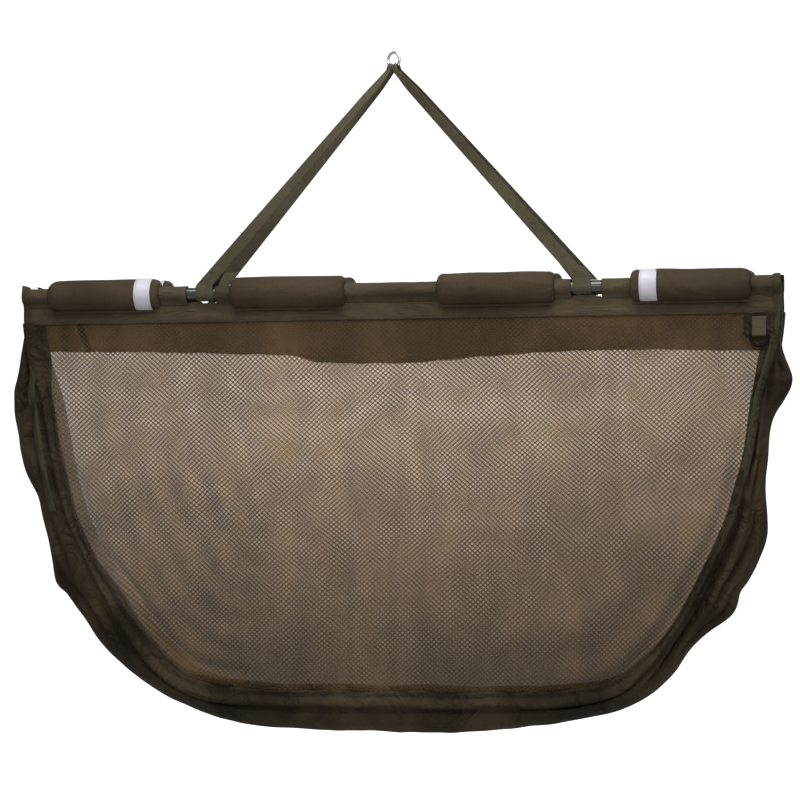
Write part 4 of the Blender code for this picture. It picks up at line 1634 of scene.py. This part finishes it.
def straps():
    """Four legs of webbing, two to each bar."""
    for prefix, front in (("front", -1), ("rear", 1)):
        for where, side in (("left", -1), ("right", 1)):
            name = f"{prefix}_webbing_{where}"
            strap(name, side, front, f"{prefix}_straps", f"{prefix}_strap_{where}")


# Side edges and tie ring


tape_start = 0.018
tape_end = 0.270
stray_end = 0.330


def tape_over_bar(front, side):
    """The side tape's rows of points over the end of the sleeve."""
    middle = Vector((side * tape_top, front * half_spacing, bar_height))
    peak = 0.0024 - side * 0.0016
    rows = []
    for number in range(21):
        angle = math.pi / 2 + math.radians(160) * number / 20
        away = Vector((0, -front * math.cos(angle), math.sin(angle)))
        row = []
        for share in spread(8):
            lift = peak * hump(number, 0, 4) * (share + 1) / 2
            aside = Vector((side * (tape_half * share + 0.6 * lift), 0, 0))
            away_by = lift + 0.0008 * (1 - share * share)
            row.append(middle + away * (sleeve_radius + 0.001) + aside + away * away_by)
        rows.append(row)
    return rows


def tape_across_seam(point, front, side, stray):
    """One row of the side tape's points. A stray tape slides out over the gusset."""
    x, depth, swell, _, _ = point
    fade = ease(depth, 0.08, 0.15)
    inwards = 0.0032 + 0.0010 * fade
    inwards -= stray * (0.0245 * ease(depth, 0.090, 0.165) + 0.004 * ease(depth, 0.22, 0.29))
    top_x = side * tape_top
    middle = top_x + (x - side * inwards - top_x) * ease(depth, tape_start, 0.040)
    row = []
    for share in spread(8):
        bow = 0.0008 * (1 - share * share) + 0.0004 * wander(depth, side, share, 0.02)
        place_x = middle + side * (tape_half - 0.0023 * fade * (1 - 1.2 * stray)) * share
        beyond = (place_x - x) * side
        y = front * (panel_reach(depth) + 0.0025 + bow)
        if beyond > 0 and stray:
            there = gusset_place(point, front * math.acos(min(1, beyond / swell)) * 2 / math.pi)
            over = 0.0034 - 0.0018 * ease(beyond, 0.004, 0.012)
            y += (there.y + front * (over + bow) - y) * ease(depth, 0.09, 0.125)
        row.append(Vector((place_x, y, bar_height - depth)))
    return row


def binding(prefix, front, where, side):
    """Tape folded over the side edge, from the top of the sleeve down the seam."""
    stray = side < 0 and front < 0
    rows = tape_over_bar(front, side)
    over_bar = len(rows)
    for point in seam[::-side]:
        on_side = point[0] * side > 0
        if on_side and tape_start < point[1] < (stray_end if stray else tape_end):
            rows.append(tape_across_seam(point, front, side, stray))
    obj = cloth(f"{prefix}_edge_tape_{where}", rows, tape_wall, round_edges=0.0003)
    dress(obj, "binding", "binding_tape", f"{prefix}_side", f"{prefix}_binding_{where}")
    line = [row[3] + Vector((0, front * 0.0010, 0)) for row in rows[over_bar + 1 :]]
    runs = [(line, (0, front, 0))]
    name = f"{prefix}_edge_stitching_{where}"
    stitching(name, runs, "thread", "binding_tape", f"{prefix}_side", 0.003)


def tie_tab():
    """Webbing folded round the tie ring's bar, sewn to the shoulder."""
    x, bar_y, bar_z = d_ring_bar
    loop_radius = d_ring_wire / 2 + fit_gap + tab_thickness / 2
    back_y = bar_y + loop_radius
    front_y = back_y - 0.0015
    line = [Vector((x, back_y, tab_top)), Vector((x, back_y, (tab_top + bar_z) / 2))]
    for share in shares(12):
        angle = -math.pi * share
        place = Vector((0, loop_radius * math.cos(angle), loop_radius * math.sin(angle)))
        line.append(d_ring_bar + place)
    line.append(Vector((x, front_y - 0.0006, bar_z + 0.008)))
    line.append(Vector((x, front_y, tab_top)))
    rows = []
    for middle in line:
        rows.append([middle + Vector((tab_half * share, 0, 0)) for share in spread(8)])
    obj = cloth("tie_tab_webbing", rows, tab_thickness, round_edges=0.0003)
    dress(obj, "webbing", "webbing", "front_side", "d_ring_tab")
    corners = []
    box = ((-1, 0.003, 0.0011), (1, 0.003, 0.0011), (1, 0.016, 0.0015), (-1, 0.016, 0.0015))
    for end, below, proud in box:
        corners.append(Vector((x + end * 0.8 * tab_half, front_y - proud, tab_top - below)))
    runs = [([a, b], (0, -1, 0)) for a, b in zip(corners, corners[1:] + corners[:1])]
    stitching("tie_tab_stitching", runs, "thread", "webbing", "front_side", 0.0026)


def tie_ring_route():
    """(x, z) points of the D: a straight bar, two small corners and a deep bow."""
    half = (d_ring_inner_width + d_ring_wire) / 2
    corner = d_ring_corner
    bow = d_ring_height - d_ring_wire / 2 - corner
    right = []
    for share in shares(6)[1:]:
        angle = math.pi / 2 * (1 - share)
        right.append((half - corner + corner * math.cos(angle), corner * math.sin(angle) - corner))
    left = [(-x, z) for x, z in right[::-1]]
    straight = [((half - corner) * along, 0.0) for along in spread(8)]
    below = []
    for share in shares(36)[1:-1]:
        angle = -math.pi * share
        below.append((half * math.cos(angle), bow * math.sin(angle) - corner))
    return straight + right + below + left


def tie_ring():
    """D-shaped ring of black wire."""
    points = tie_ring_route()
    curve = bpy.data.curves.new("tie_ring_wire", "CURVE")
    curve.dimensions = "3D"
    curve.bevel_depth = d_ring_seen_wire / 2
    curve.bevel_resolution = 6
    spline = curve.splines.new("POLY")
    spline.points.add(len(points) - 1)
    for point, (x, z) in zip(spline.points, points):
        point.co = (x, 0, z, 1)
    spline.use_cyclic_u = True
    obj = linked("tie_ring_wire", curve)
    obj.location = d_ring_bar
    pick(obj)
    bpy.ops.object.convert(target="MESH")
    obj = bpy.context.object
    settle(obj)
    obj.data.shade_smooth()
    dress(obj, "d_ring", "d_ring_coat", "tie_ring", "d_ring")


# The whole sling


place_camera()
studio()
for prefix, front, seed in (("front", -1, 1), ("rear", 1, 2)):
    for where, side in (("left", -1), ("right", 1)):
        bar_half(prefix, front, where, side)
        end_cap(prefix, front, where, side)
        binding(prefix, front, where, side)
    ferrule(prefix, front)
    sleeves(prefix, front, 10 * seed)
    hem(prefix, front, 10 * seed + 5)
    float_set(prefix, front, 20 * seed)
    bands(prefix, front)
    mesh_panel(prefix, front, front_drape if front < 0 else rear_drape, seed)
    border(prefix, front, seed)
    mouth_flap(prefix, front, 3 * seed)
gussets()
lifting_ring()
straps()
tie_tab()
tie_ring()
